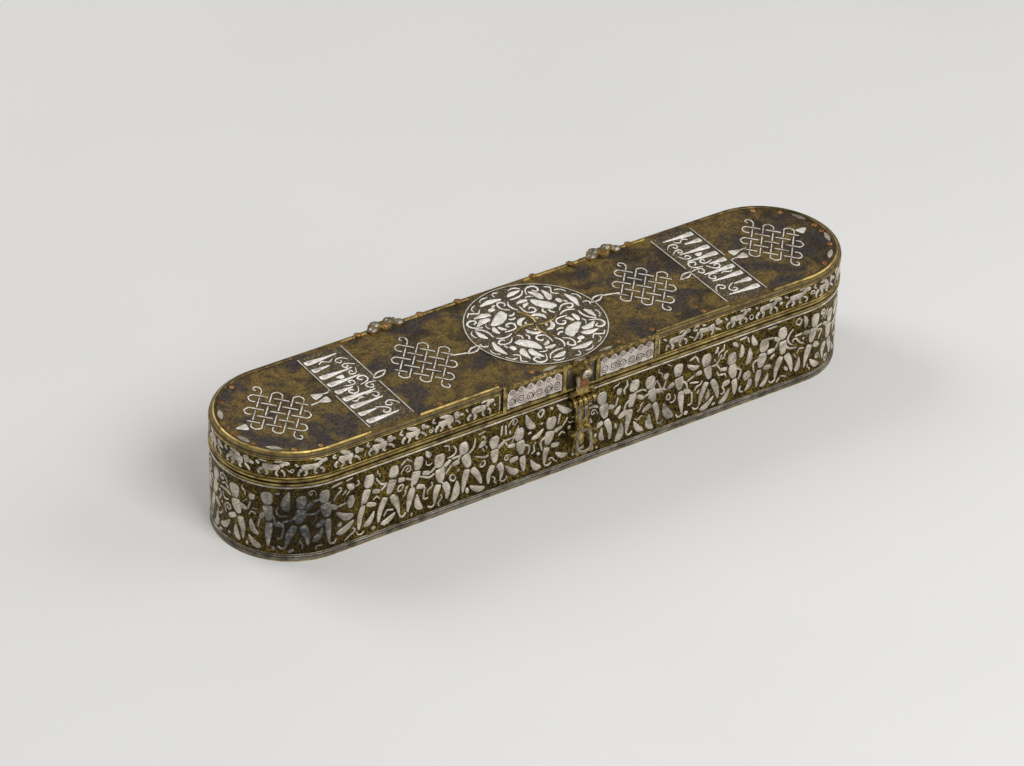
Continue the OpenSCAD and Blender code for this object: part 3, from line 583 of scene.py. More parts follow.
def along(points, share):
    """The point at a share of a smooth curve through given points."""
    last = len(points) - 1
    i = min(int(share * last), last - 1)
    u = share * last - i
    a, b, c, d = (Vector(points[min(max(k, 0), last)]) for k in (i - 1, i, i + 1, i + 2))
    return b + 0.5 * u * (c - a + u * (2 * a - 5 * b + 4 * c - d + u * (3 * (b - c) + d - a)))


def between(values, share):
    """A value read off a list, evenly spread from start to end."""
    spot = share * (len(values) - 1)
    i = min(int(spot), len(values) - 2)
    return values[i] + (values[i + 1] - values[i]) * (spot - i)


def stroke(bm, place, points, widths, lift, grow=0.0):
    """Lays one piece of inlay along points, with the given widths, on the surface that place maps to."""
    before = len(bm.verts)
    bm.from_mesh(blank(max(FEWEST_RINGS, 2 * len(points))))
    bm.verts.ensure_lookup_table()
    stations = {}
    for v in bm.verts[before:]:
        key = round(v.co.z, 4)
        if key not in stations:
            share = (1 + key) / 2
            ahead = along(points, min(share + NEAR, 1)) - along(points, max(share - NEAR, 0))
            ahead.normalize()
            girth = (1 - min(key * key, 1)) ** BLUNT_END
            middle = along(points, share) + ahead * key * grow
            stations[key] = (middle, Vector((-ahead.y, ahead.x)), girth, between(widths, share) / 2 + grow)
        middle, across, girth, half = stations[key]
        around = math.atan2(v.co.y, v.co.x)
        side = math.copysign(abs(math.cos(around)) ** FLAT_TOP, math.cos(around)) * half * girth
        rise = math.sin(around) * girth
        spot = middle + across * side
        v.co = place(spot.x, spot.y, rise * (lift if rise > 0 else SINK))


def setting(surface, at, turn=0.0, flip=1, size=1.0):
    """Where a motif's own point lands once the motif is sized, flipped, turned and set on a surface."""
    c, s = math.cos(turn), math.sin(turn)

    def place(u, v, h):
        u, v = u * flip * size, v * size
        return surface(at[0] + u * c - v * s, at[1] + u * s + v * c, h)

    return place


def lay(bm, surface, motif, at, turn=0.0, flip=1, size=1.0, lift=0.30, grow=0.0):
    """Lays every stroke of a motif, each given as its points and its widths."""
    place = setting(surface, at, turn, flip, size)
    for points, widths in motif:
        stroke(bm, place, points, widths, lift, grow)


print("inlay stroke ready")

# %% [markdown]
# Three kinds of surface take inlay. The wall is a straight run and a half turn, twice over, so one distance
# along it is enough to find a place. The lid is level, and the clasp faces the front. A finished bmesh
# becomes a piece with its finish and its body in one call. Flipped motifs turn inside out, so the normals
# are worked out once more.

# %% Find places on the surfaces and finish a piece
RUN, BEND = 2 * end_x, math.pi * half_w


def on_wall(s, z, h):
    """A point s along the wall from the middle of the front, z up and h out of the wall."""
    half, s = divmod((s + end_x) % round_the_box, RUN + BEND)
    way = 1 - 2 * half
    if s < RUN:
        x, y = s - end_x, -(half_w + h)
    else:
        a = (s - RUN) / half_w
        x, y = end_x + (half_w + h) * math.sin(a), -(half_w + h) * math.cos(a)
    return Vector((way * x, way * y, z)) * MM


def level(z):
    """A surface that faces up, at a height."""
    return lambda x, y, h: Vector((x, y, z + h)) * MM


def facing(y):
    """A surface that faces the front, at a place across the box."""
    return lambda x, z, h: Vector((x, y - h, z)) * MM


def piece(name, bm, finish, body, slot):
    """Turns a bmesh into a piece of the box that rides on a body."""
    bmesh.ops.recalc_face_normals(bm, faces=bm.faces)
    for face in bm.faces:
        face.smooth = True
    made = put(name, to_mesh(name, bm))
    made.data.materials.append(finish)
    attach(made, body)
    print(f"{name}: {len(made.data.polygons)} faces on {body}")


on_lid = level(top_z)
print(f"a side runs {RUN:.0f} mm and an end bends {BEND:.0f} mm")

# %% [markdown]
# ## Lines round the box
# Silver lines close the figure field above and below, and thin gold lines frame the field on the lid. Such
# a line is a short section carried round the box: drawn out along a side, spun round an end, and the same
# again for the other half, then merged where it meets its start.

# %% Run lines round the walls
LINE_SINK, END_STEPS = 0.3, 32
RAILS = [
    ("case_line_high", case_high - 0.95, case_high - 0.35, 0.30, WALL_SILVER, "case", "silver"),
    ("case_line_low", case_low + 0.15, case_low + 0.65, 0.25, BOSS_SILVER, "case", "silver"),
    ("case_band_low", case_low + 0.95, case_low + 1.30, 0.22, BOSS_SILVER, "case", "silver"),
    ("lid_line_low", lid_low + 0.20, lid_low + 0.70, 0.30, BRASS, "lid", "brass"),
    ("lid_line_high", lid_high - 0.45, lid_high - 0.10, 0.26, BRASS, "lid", "brass"),
]


def rail(low, high, proud):
    """A closed strip round the wall between two heights, with a chamfered outer face."""
    bm = bmesh.new()
    soft = (high - low) / 4
    section = [(LINE_SINK, low), (-proud / 2, low), (-proud, low + soft), (-proud, high - soft),
               (-proud / 2, high), (LINE_SINK, high)]
    corners = [bm.verts.new((-end_x, inward - half_w, z)) for inward, z in section]
    edges = [bm.edges.new((a, b)) for a, b in zip(corners, corners[1:] + corners[:1])]
    for way in (1, -1):
        drawn = bmesh.ops.extrude_edge_only(bm, edges=edges)["geom"]
        ends = [g for g in drawn if isinstance(g, bmesh.types.BMVert)]
        bmesh.ops.translate(bm, verts=ends, vec=(RUN * way, 0, 0))
        edges = [g for g in drawn if isinstance(g, bmesh.types.BMEdge) and all(v in ends for v in g.verts)]
        spun = bmesh.ops.spin(bm, geom=edges, cent=(end_x * way, 0, 0), axis=(0, 0, 1), angle=math.pi,
                              steps=END_STEPS)
        edges = [g for g in spun["geom_last"] if isinstance(g, bmesh.types.BMEdge)]
    bmesh.ops.remove_doubles(bm, verts=bm.verts, dist=0.001)
    bmesh.ops.scale(bm, vec=(MM, MM, MM), verts=bm.verts)
    return bm


for name, low, high, proud, finish, body, slot in RAILS:
    piece(name, rail(low, high, proud), finish, body, slot)

# %% [markdown]
# ## Room for fillers
# The old silversmiths left no ground empty, and yet no two pieces touch. A field keeps account of what is
# laid: each motif is covered with a few discs, and a new motif fits only if its discs keep a gap from all
# the others. The discs are sorted into square cells, so that only near ones are looked at.

# %% Keep account of a field
SPOTS = 5
CELL = 5.0


class Field:
    """Remembers where inlay lies on a surface, so that fillers go only where there is room."""

    def __init__(self, inside, gap, wrap=0.0):
        self.inside, self.gap, self.wrap, self.taken = inside, gap, wrap, {}

    def spots(self, motif, at, turn=0.0, flip=1, size=1.0):
        """Discs that cover a motif once it is set in its place, each as two coordinates and a radius."""
        place = setting(lambda u, v, h: (u, v), at, turn, flip, size)
        discs = []
        for points, widths in motif:
            count = max(SPOTS, 2 * len(points))
            for k in range(count + 1):
                mid = along(points, k / count)
                discs.append((*place(mid.x, mid.y, 0), between(widths, k / count) / 2))
        return discs

    def room(self, motif, where):
        """Whether a motif in its setting lies inside the field and clear of all that was laid before."""
        for u, v, r in self.spots(motif, *where):
            if not self.inside(u, v, r):
                return False
            i, j = int(u // CELL), int(v // CELL)
            for cell in ((i + a, j + b) for a in (-1, 0, 1) for b in (-1, 0, 1)):
                for x, y, other in self.taken.get(cell, ()):
                    if math.hypot(u - x, v - y) < r + other + self.gap:
                        return False
        return True

    def block(self, discs):
        """Takes up the room of discs, and on a closed field also one round before and one after."""
        for u, v, r in discs:
            for shift in {0.0, self.wrap, -self.wrap}:
                cell = (int((u + shift) // CELL), int(v // CELL))
                self.taken.setdefault(cell, []).append((u + shift, v, r))

    def keep(self, laid):
        """Takes up the room of motifs, each with its setting."""
        for motif, where in laid:
            self.block(self.spots(motif, *where))


print("fields ready, in cells of", CELL, "mm")

# %% [markdown]
# Fillers are thrown at a field like darts, large ones first, and stay where they fit. The dice are seeded,
# so that every run gives the same box, and each filler is cut a little off its pattern, as by hand.

# %% Throw fillers at a field
CUT_OFF, CUT_WIDTH = 0.22, 0.16
ANY_TURN = 3.1
dice = random.Random(11)


def hand_cut(motif):
    """A copy of a motif whose points and widths are a little off, as no two pieces are cut alike."""
    return [([(u + dice.uniform(-CUT_OFF, CUT_OFF), v + dice.uniform(-CUT_OFF, CUT_OFF)) for u, v in points],
             [width * dice.uniform(1 - CUT_WIDTH, 1 + CUT_WIDTH) for width in widths])
            for points, widths in motif]


def scatter(field, motifs, tries, spot, tilt, sizes):
    """Throws motifs at a field and returns those that found room, each with its setting."""
    laid = []
    for _ in range(tries):
        motif = hand_cut(dice.choice(motifs))
        where = (spot(), dice.uniform(-tilt, tilt), dice.choice((-1, 1)), dice.uniform(*sizes))
        if field.room(motif, where):
            field.keep([(motif, where)])
            laid.append((motif, where))
    return laid


print("fillers may turn by up to", ANY_TURN, "radians")

# %% [markdown]
# ## Figures
# The wall carries a crowd of small standing figures, the usual subject of such boxes: walkers, archers,
# dancers, people with staffs, cups and flowers. A figure is laid from separate plates with a dark line
# between them, and thin wires for its feet. A limb is given by its angle from straight down, so that one
# helper finds every joint.

# %% Draw the legs, the robe and what hands hold
THIGH, SHIN = 5.0, 4.8


def reach(start, angle, length):
    """The end of a limb that leaves start at an angle from straight down, in degrees."""
    a = math.radians(angle)
    return (start[0] + length * math.sin(a), start[1] - length * math.cos(a))


HELD = {
    "nothing": [],
    "rod": [([(-1.2, -2.6), (1.6, 3.8)], (0.65, 0.8, 0.65))],
    "bow": [([reach((-1.0, 0), a, 3.8) for a in (25, 55, 90, 125, 155)], (0.5, 0.8, 0.85, 0.8, 0.5))],
    "sword": [([(0.4, 0.6), (1.4, 2.8), (2.4, 5.4)], (0.8, 1.6, 0.5))],
    "cup": [([(0, 0.6), (0.2, 3.2)], (1.1, 2.4, 2.2))],
    "shield": [([(1.4, -2.6), (1.6, 2.2)], (1.8, 3.1, 1.8))],
    "flower": [([(0.3, -2.2), (0.6, 0.5), (0.4, 2.4)], (0.5, 0.65, 0.6)),
               ([(0.4, 3.0), (0.2, 5.4)], (1.0, 2.3, 0.6))],
}


def wedge_leg(hip, thigh, shin, scale, side):
    """A leg in one long plate that narrows to the ankle, with a curled wire for the foot."""
    knee = reach(hip, thigh, THIGH * scale)
    x, y = ankle = reach(knee, shin, SHIN * scale)
    toe = [ankle, (x + 0.5 * side, y - 0.8), (x + 1.8 * side, y - 0.9), (x + 2.6 * side, y + 0.2)]
    return [([reach(hip, thigh, 0.3), knee, ankle], (2.9, 2.8, 1.8, 0.8)), (toe, (0.7, 0.75, 0.75, 0.6))]


def bent_leg(hip, thigh, shin, scale):
    """A leg that is bent at the knee: a plate for the thigh and a wire for the shin and the foot."""
    knee = reach(hip, thigh, THIGH)
    ankle = reach(knee, shin, SHIN * scale)
    return [([reach(hip, thigh, 1.4), knee], (2.0, 2.3, 1.6)),
            ([reach(knee, shin, 0.3), ankle, reach(ankle, 75, 1.7)], (1.0, 0.8, 0.7))]


def robe(hip_v):
    """A long robe that widens to its hem, with two feet under it."""
    feet = [([(side, 2.1), (side * 1.2, 0.7), (side * 2.5, 0.6)], (0.9, 0.8, 0.6)) for side in (-1.0, 1.0)]
    return [([(0, hip_v - 0.2), (0.2, 2.8)], (2.2, 3.2, 4.6))] + feet


print("things to hold:", list(HELD))

# %% [markdown]
# Above the legs come a chest, a sleeve, a plain oval head and a wire for the other arm. A figure has a long
# leg and a bent one, or two long legs in a stride, or a robe. Angles at the joints set its pose.

# %% Pose a figure
HIP_V, TRUNK, HEAD_L = 11.6, 6.0, 5.0
ARM, FOREARM = 5.0, 3.6
NECK_GAP, HIP_GAP = 0.45, 0.9
STRIDE = 40


def figure(lean, arms, legs, held="nothing", hip_v=HIP_V):
    """A figure with its feet on the line v = 0 and its hips at a height, in a robe if it has no legs."""
    hip = (0, hip_v)
    neck = reach(hip, 180 - lean, TRUNK)
    chin = reach(neck, 180 - lean, NECK_GAP)
    crown = reach(chin, 180 - lean * 0.4, HEAD_L)
    waist = reach(hip, 180 - lean, NECK_GAP)
    parts = [([chin, crown], (2.6, 3.9, 4.2, 3.3)), ([neck, waist], (4.4, 3.6, 2.2))]
    shoulder = reach(neck, 0, 1.0)
    (upper, fore), (upper_b, fore_b) = arms
    elbow, elbow_b = reach(shoulder, upper, ARM), reach(shoulder, upper_b, ARM - 0.6)
    hand = reach(elbow, fore, FOREARM)
    parts += [([reach(shoulder, upper, 1.9), elbow], (2.1, 1.9, 1.3)),
              ([reach(elbow, fore, 0.3), hand], (0.9, 0.7)),
              ([reach(shoulder, upper_b, 2.0), elbow_b, reach(elbow_b, fore_b, FOREARM)], (1.0, 0.85, 0.65))]
    scale = hip_v / HIP_V
    if not legs:
        parts += robe(hip_v)
    elif abs(legs[1][0]) < STRIDE:
        parts += wedge_leg((HIP_GAP, hip_v), *legs[0], scale, 1)
        parts += wedge_leg((-HIP_GAP, hip_v), *legs[1], scale, -1)
    else:
        parts += wedge_leg(hip, *legs[0], scale, 1) + bent_leg(hip, *legs[1], scale)
    return parts + [([(hand[0] + u, hand[1] + v) for u, v in points], widths)
                    for points, widths in HELD[held]]


POSES = [
    figure(12, ((60, 115), (-50, -12)), ((-6, -8), (-66, -6)), "rod"),
    figure(-11, ((96, 88), (-70, 30)), ((20, 4), (-58, -4)), "bow"),
    figure(0, ((120, 172), (-112, -168)), ((2, 2), (-72, 10)), "flower"),
    figure(3, ((48, 104), (-42, -100)), (), "cup"),
    figure(14, ((85, 62), (-100, -150)), ((24, 14), (-24, -12))),
    figure(-9, ((66, 98), (-60, -100)), ((4, 2), (-60, 2)), "shield"),
    figure(16, ((70, 130), (-30, 20)), ((-12, -10), (74, -6))),
    figure(-2, ((40, 150), (-75, -30)), (), "flower"),
    figure(8, ((135, 100), (-45, -80)), ((20, 8), (-28, -14)), hip_v=10.6),
    figure(-15, ((75, 160), (-120, -80)), ((18, 2), (-64, 6)), "cup", 10.4),
    figure(5, ((30, 10), (-35, -5)), ((3, 4), (-78, 8))),
    figure(-16, ((110, 150), (-30, -60)), ((10, -2), (-62, 4)), "sword"),
    figure(10, ((100, 150), (-60, 10)), ((-10, -4), (80, -20)), hip_v=8.4),
    figure(-7, ((125, 95), (-80, -120)), ((26, -10), (-22, -6)), "rod", 8.8),
    figure(18, ((80, 40), (-130, -170)), ((14, 6), (-30, -24)), "bow", 10.8),
]
print(len(POSES), "poses of", sum(len(p) for p in POSES), "strokes")

# %% [markdown]
# Between the figures come crouching beasts, birds and hares, boot-shaped leaves, hooks, waves and rings of
# wire. Each filler is a short list of strokes about its own middle.

# %% Draw the fillers
def curl(size, turns=1.25, tail=1.5, wire=0.6, steps=6):
    """A wire that winds in to its own middle, with a tail."""
    spiral = []
    for i in range(steps + 1):
        a = 2 * math.pi * turns * i / steps
        r = size * (1 - 0.8 * i / steps)
        spiral.append((r * math.cos(a), r * math.sin(a)))
    return [([(size * 0.9, -size * tail)] + spiral, (wire * 0.7, wire, wire, wire * 0.8))]


LEAF = [([(-0.8, -2.9), (0.4, 0.2), (0.2, 3.0)], (0.7, 2.4, 2.1, 0.4))]
BOOT = [([(-3.0, -2.0), (-0.4, -1.1), (2.0, 2.6)], (0.9, 2.9, 2.5, 0.6))]
DROP = [([(0, -1.5), (0, 1.9)], (2.1, 2.1, 0.5))]
PEBBLE = [([(0, -0.9), (0, 0.9)], (1.6, 2.0, 1.5))]
CHIP = [([(-1.1, -0.8), (1.1, 0.8)], (1.0, 1.7, 1.1))]
HOOK = [([(-0.2, -3.2), (0.2, -0.6), (-0.3, 1.6), (0.6, 2.6), (1.6, 1.9)], (0.65, 0.85, 0.8, 0.65))]
WAVE = [([(-0.5, -2.6), (0.5, -1.0), (-0.5, 0.8), (0.5, 2.6)], (0.6, 0.85, 0.85, 0.6))]
SICKLE = [([(-2.2, 1.2), (-1.4, -1.0), (0.6, -1.6), (2.2, 0.0)], (0.6, 0.8, 0.8, 0.6))]
ZIGZAG = [([(-2.4, -0.6), (0, 0.9)], (0.75, 0.85)), ([(0.2, 0.7), (2.0, -1.2)], (0.85, 0.65))]
ARC = [([(-3.2, -0.6), (-1.2, 0.7), (1.2, 0.7), (3.2, -0.6)], (0.4, 0.6, 0.6, 0.4))]
SNAKE = [([(-3.2, 0.7), (-1.2, -0.8), (1.0, 0.8), (3.0, -0.6)], (0.4, 0.6, 0.6, 0.4))]
ROD = [([(-0.6, -2.0), (0.6, 2.0)], (0.65, 0.8, 0.65))]
RODS = [([(-1.0, -2.2), (0.2, 1.6)], (0.65, 0.75)), ([(0.7, -2.4), (1.7, 1.2)], (0.65, 0.75))]
RING = [([(1.1 * math.cos(a), 1.4 * math.sin(a)) for a in (k * math.pi / 3 for k in range(7))], (0.75, 0.75))]
TWIN = [([(-0.4, -2.2), (-1.3, 0.4), (-1.0, 2.4)], (0.6, 1.8, 0.4)),
        ([(0.6, -2.2), (1.5, 0.3), (1.3, 2.2)], (0.6, 1.7, 0.4))]
CROUCH = [([(0.4, 0.9), (1.2, 3.9)], (2.5, 3.2, 2.7)),
          ([(1.2, 0.0), (0.0, -1.9), (-2.6, -2.8)], (2.3, 2.8, 0.8)),
          ([(-2.9, -2.7), (-4.0, -1.6), (-3.7, -0.1), (-2.7, 0.1)], (0.7, 0.75, 0.75, 0.6))]
BIRD = [([(-3.0, 0.4), (-0.4, 0), (2.0, 0.4)], (0.8, 3.1, 2.5)), ([(2.0, 1.6), (3.2, 2.8)], (1.9, 1.8)),
        ([(3.7, 2.4), (4.8, 1.7)], (0.9, 0.4)), ([(0.2, -1.9), (0.2, -3.8), (1.2, -4.2)], (0.7, 0.75, 0.6)),
        ([(-1.5, 2.0), (-3.6, 3.2)], (1.6, 0.6))]
HARE = [([(-2.8, 0.2), (-0.4, 0.5), (1.4, 0.5)], (2.1, 2.8, 1.9)), ([(2.0, 1.3), (3.4, 1.9)], (2.0, 1.7)),
        ([(1.9, 2.9), (0.9, 4.4)], (1.0, 0.5)), ([(1.3, -1.1), (2.5, -2.6)], (0.9, 0.7)),
        ([(-2.4, -1.0), (-3.5, -2.6)], (1.2, 0.7)), ([(-0.9, -1.3), (-0.4, -2.8)], (0.9, 0.6))]
PERCH = [([(-2.2, -0.2), (2.2, 0.1)], (0.8, 3.2, 2.6, 0.6)), ([(0.7, -1.8), (0.9, -4.2)], (0.7, 0.7)),
         ([(-0.8, -1.8), (-0.9, -3.8)], (0.7, 0.7)),
         ([(-2.1, 0.8), (-3.0, 2.4), (-2.2, 3.6), (-1.2, 3.0)], (0.65, 0.75, 0.75, 0.6))]
LARGE = [CROUCH, BOOT, HARE, BIRD, PERCH, BOOT, CROUCH]
MEDIUM = [LEAF, HOOK, WAVE, SICKLE, curl(1.6), ZIGZAG, TWIN, RODS, DROP, RING]
WIRES = [HOOK, WAVE, SICKLE, ZIGZAG, HOOK, SNAKE, curl(1.9, 1.1, 1.6)]
SMALL = [DROP, PEBBLE, CHIP, ROD, PEBBLE, WAVE, CHIP]
print(len(LARGE) + len(MEDIUM) + len(WIRES) + len(SMALL), "fillers to choose from")

# %% [markdown]
# Each side of the box is a piece of its own. Under the silver lies a slightly larger skin of dark mastic,
# which shows as the line round each plate: partly mastic, partly painted shade in the gap round the plate.

# %% Lay motifs round the walls
OUTLINE, SKIN_LIFT = 0.2, 0.06
SIDE_NAMES = ("front", "right", "back", "left")


def side_of(s):
    """Which side of the box a distance along the wall is on."""
    s = (s + end_x) % round_the_box
    return SIDE_NAMES[sum(s >= limit for limit in (RUN, RUN + BEND, 2 * RUN + BEND))]


def lay_round(name, laid, body):
    """Lays motifs round the walls over a skin of mastic and painted shade, as two pieces for each side."""
    silver, mastic_and_shade = ({side: bmesh.new() for side in SIDE_NAMES} for _ in range(2))
    for motif, where in laid:
        side = side_of(where[0][0])
        lay(silver[side], on_wall, motif, *where)
        lay(mastic_and_shade[side], on_wall, motif, *where, lift=SKIN_LIFT, grow=OUTLINE)
    for side in SIDE_NAMES:
        piece(f"{name}_{side}", silver[side], WALL_SILVER, body, "silver")
        piece(f"{name}_mastic_{side}", mastic_and_shade[side], MASTIC_AND_GAP_SHADE, body, "aged_brass")


print("the front's middle is on the", side_of(0.0))

# %% [markdown]
# The crowd is set out at an even pitch, each figure in a pose that the dice choose. A pose whose plates
# would touch its neighbour's is passed over for another, and the knob under the clasp keeps a clear space.

# %% Set the crowd round the case
FIGURES, POSE_TRIES, STAGGER = 51, 120, 1.7
FOOT_Z, FIELD_TOP = case_low + 2.2, case_high - 1.3
FIELD_LOW = FOOT_Z - 0.7
PLATE, PLATE_GAP = 1.2, 0.22
KNOB_CLEAR = 4.4
pitch = round_the_box / FIGURES
wall = Field(lambda s, z, r: FIELD_LOW < z - r and z + r < FIELD_TOP, PLATE_GAP, round_the_box)
knob = (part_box("staple")[0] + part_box("staple")[1]) / 2 / MM
wall.block([(knob.x, knob.z, KNOB_CLEAR)])
crowd, wires = [], []
for k in range(FIGURES):
    for _ in range(POSE_TRIES):
        pose = hand_cut(dice.choice(POSES))
        at = ((k + 0.5 - FIGURES / 2) * pitch + dice.uniform(-STAGGER, STAGGER), FOOT_Z)
        where = (at, 0.0, dice.choice((-1, 1)), dice.uniform(0.97, 1.03))
        plates = [part for part in pose if max(part[1]) > PLATE]
        if wall.room(plates, where):
            wall.keep([(plates, where)])
            crowd.append((plates, where))
            wires += [([part], where) for part in pose if max(part[1]) <= PLATE]
            break
print(len(crowd), "figures")

# %% [markdown]
# Beasts then crouch at the figures' feet, and the figures' thin wires stay where these leave room. Large,
# middling, wiry and small fillers follow, the larger sizes of each kind first, until the ground is full.

# %% Fill the ground between the figures
WIRE_GAP = 0.15
BEAST_TRIES, FILLER_TRIES, SMALL_TRIES = 9000, 6000, 4500
FILLERS = [(LARGE, (0.95, 1.1)), (LARGE, (0.75, 0.9)), (MEDIUM, (0.95, 1.1)), (MEDIUM, (0.75, 0.9)),
           (WIRES, (0.60, 0.75))]
SMALL_SIZES = [(0.9, 1.1), (0.7, 0.85), (0.5, 0.65)]


def anywhere(low, high):
    """A random place on the wall between two heights."""
    return lambda: (dice.uniform(-0.5, 0.5) * round_the_box, dice.uniform(low, high))


beasts = scatter(wall, [CROUCH, BOOT, PERCH, BOOT, HARE], BEAST_TRIES, anywhere(FOOT_Z + 1, FOOT_Z + 6), 0.6,
                 (0.85, 1.15))
print(len(beasts), "beasts at their feet")
lying = Field(wall.inside, WIRE_GAP, round_the_box)
lying.keep(beasts)
wires = [(motif, where) for motif, where in wires if lying.room(motif, where)]
wall.keep(wires)
crowd += beasts + wires
for motifs, sizes in FILLERS:
    crowd += scatter(wall, motifs, FILLER_TRIES, anywhere(FOOT_Z + 1, FIELD_TOP - 1), 1.0, sizes)
for sizes in SMALL_SIZES:
    crowd += scatter(wall, SMALL, SMALL_TRIES, anywhere(FOOT_Z, FIELD_TOP), ANY_TURN, sizes)
print(len(crowd), "motifs on the case")
lay_round("figures", crowd, "case")

# %% [markdown]
# ## Running animals
# The lid's wall has a narrower field with animals that chase each other round the box. There are three of
# them, each a list of strokes for its body, its head, four legs and a tail. One has horns and one a wing.

# %% Draw the animals
RUNNERS = [
    [([(-3.4, 0.4), (0, 0.0), (2.4, 0.5)], (2.3, 2.1, 2.9)), ([(2.6, 1.2), (4.4, 1.7)], (2.3, 2.6, 2.0)),
     ([(4.3, 1.3), (5.5, 0.9)], (1.3, 0.9)), ([(2.6, -0.2), (3.9, -1.3), (5.2, -1.8)], (1.1, 0.8, 0.7)),
     ([(1.6, -0.6), (2.0, -1.8), (1.1, -2.5)], (1.0, 0.75, 0.65)),
     ([(-3.2, 0.0), (-4.3, -1.2), (-5.2, -2.2)], (1.8, 0.8, 0.7)),
     ([(-2.4, -0.5), (-2.1, -1.7), (-3.1, -2.5)], (1.3, 0.75, 0.65)),
     ([(-3.9, 0.8), (-5.2, 1.5), (-4.8, 2.5), (-3.4, 2.4)], (0.8, 0.8, 0.8, 0.7))],
    [([(-3.0, 0.3), (-0.3, 0.4), (2.2, 0.3)], (2.6, 2.2, 2.3)), ([(2.0, 0.6), (3.2, 2.0)], (1.7, 1.3)),
     ([(2.9, 1.9), (4.8, 1.8)], (1.5, 1.7, 1.0)), ([(2.9, 2.4), (1.6, 2.6), (0.4, 2.2)], (0.7, 0.7, 0.5)),
     ([(2.3, -0.4), (3.5, -1.3), (3.1, -2.5)], (1.0, 0.75, 0.65)),
     ([(1.2, -0.5), (0.7, -1.7), (1.6, -2.5)], (0.9, 0.75, 0.65)),
     ([(-3.0, -0.4), (-4.2, -1.5), (-3.7, -2.5)], (1.5, 0.8, 0.7)),
     ([(-2.0, -0.6), (-1.4, -1.7), (-2.2, -2.5)], (1.4, 1.0, 0.8)), ([(-4.0, 0.9), (-5.0, 1.9)], (0.9, 0.6))],
    [([(-3.0, 0.5), (-0.4, 0.0), (2.0, 0.3)], (2.1, 2.2, 2.8)), ([(2.4, 1.0), (3.9, 1.4)], (2.4, 2.7, 2.1)),
     ([(3.9, 1.0), (5.3, 0.5)], (1.4, 0.9)), ([(0.9, 1.0), (-0.7, 2.1), (-2.6, 2.5)], (1.5, 1.7, 0.5)),
     ([(2.4, -0.5), (3.7, -1.3), (4.3, -2.4)], (1.0, 0.75, 0.65)),
     ([(1.1, -0.7), (0.7, -1.8), (1.5, -2.5)], (1.3, 0.9, 0.8)),
     ([(-3.0, -0.2), (-4.1, -1.3), (-3.7, -2.4)], (1.5, 0.8, 0.7)),
     ([(-2.0, -0.6), (-1.4, -1.7), (-2.3, -2.5)], (1.5, 1.0, 0.8)),
     ([(-3.8, 0.9), (-4.9, 1.7), (-4.1, 2.5)], (0.8, 0.8, 0.6))],
]
print(len(RUNNERS), "animals of", sum(len(r) for r in RUNNERS), "strokes")

# %% [markdown]
# The animals run at an even pitch, with leaf curls between them. The plaques stand in front, so the field
# starts past them and ends in an upright line.

# %% Chase animals round the lid
PLAQUE_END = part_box("plaque_right")[1].x / MM + 1.0
RUN_LOW, RUN_HIGH = lid_low + 1.0, lid_high - 0.6
RUN_COUNT, RUN_TRIES = 38, 6000
POST_ROOM, POST_GAP = 1.2, 0.8
CHASE_FILLERS = [([curl(1.3, 1.2, 1.3), TWIN, LEAF, BOOT, HOOK, RING], (0.65, 1.0)),
                 (SMALL + [LEAF, TWIN], (0.45, 0.8))]
run_mid = (RUN_LOW + RUN_HIGH) / 2
run_length = round_the_box - 2 * PLAQUE_END - 2 * POST_ROOM


def in_chase(s, z, r):
    """Whether a disc lies in the animals' field, which starts past one plaque and ends at the other."""
    return (RUN_LOW < z - r and z + r < RUN_HIGH and PLAQUE_END + POST_GAP < s - r
            and s + r < round_the_box - PLAQUE_END - POST_GAP)


def along_lid():
    """A random place in the animals' field."""
    return (PLAQUE_END + POST_ROOM + dice.random() * run_length, dice.uniform(RUN_LOW, RUN_HIGH))


chase = []
for k in range(RUN_COUNT):
    at = (PLAQUE_END + POST_ROOM + (k + 0.5) * run_length / RUN_COUNT, run_mid)
    where = (at, 0.0, 1, dice.uniform(1.08, 1.14))
    chase.append((hand_cut(dice.choice(RUNNERS)), where))
lid_field = Field(in_chase, 0.2)
lid_field.keep(chase)
for motifs, sizes in CHASE_FILLERS:
    chase += scatter(lid_field, motifs, RUN_TRIES, along_lid, ANY_TURN, sizes)
post = [([(0, RUN_LOW), (0, RUN_HIGH)], (0.55, 0.55))]
chase += [(post, ((way * PLAQUE_END, 0),)) for way in (-1, 1)]
lay_round("runners", chase, "lid")

# %% [markdown]
# ## Knots
# Four knots lie along the lid. A knot is a lattice of five strands each way, at a slant, woven over and
# under: where a strand dives it is cut short on both sides of the one above it. Neighbouring strands are
# joined by loops in pairs, and the pairs alternate from edge to edge, so that the wire seems endless.

# %% Weave a knot
STRANDS = 5
STEP_X, STEP_Y = 2.35, 2.75
WIRE = 0.52
DIVE = 0.25
EDGE = STRANDS // 2
LOOP = [(0.4, 0), (0.75, 0.03), (1.02, 0.5), (0.75, 0.97), (0.4, 1)]
TAIL = [(0.4, 0), (0.85, 0), (1.25, -0.3), (1.2, -0.75), (0.8, -0.8), (0.7, -0.5)]


def lattice(a, b):
    """A point of the slanted lattice, in the knot's own millimetres."""
    return ((a + b) * STEP_X, (a - b) * STEP_Y)


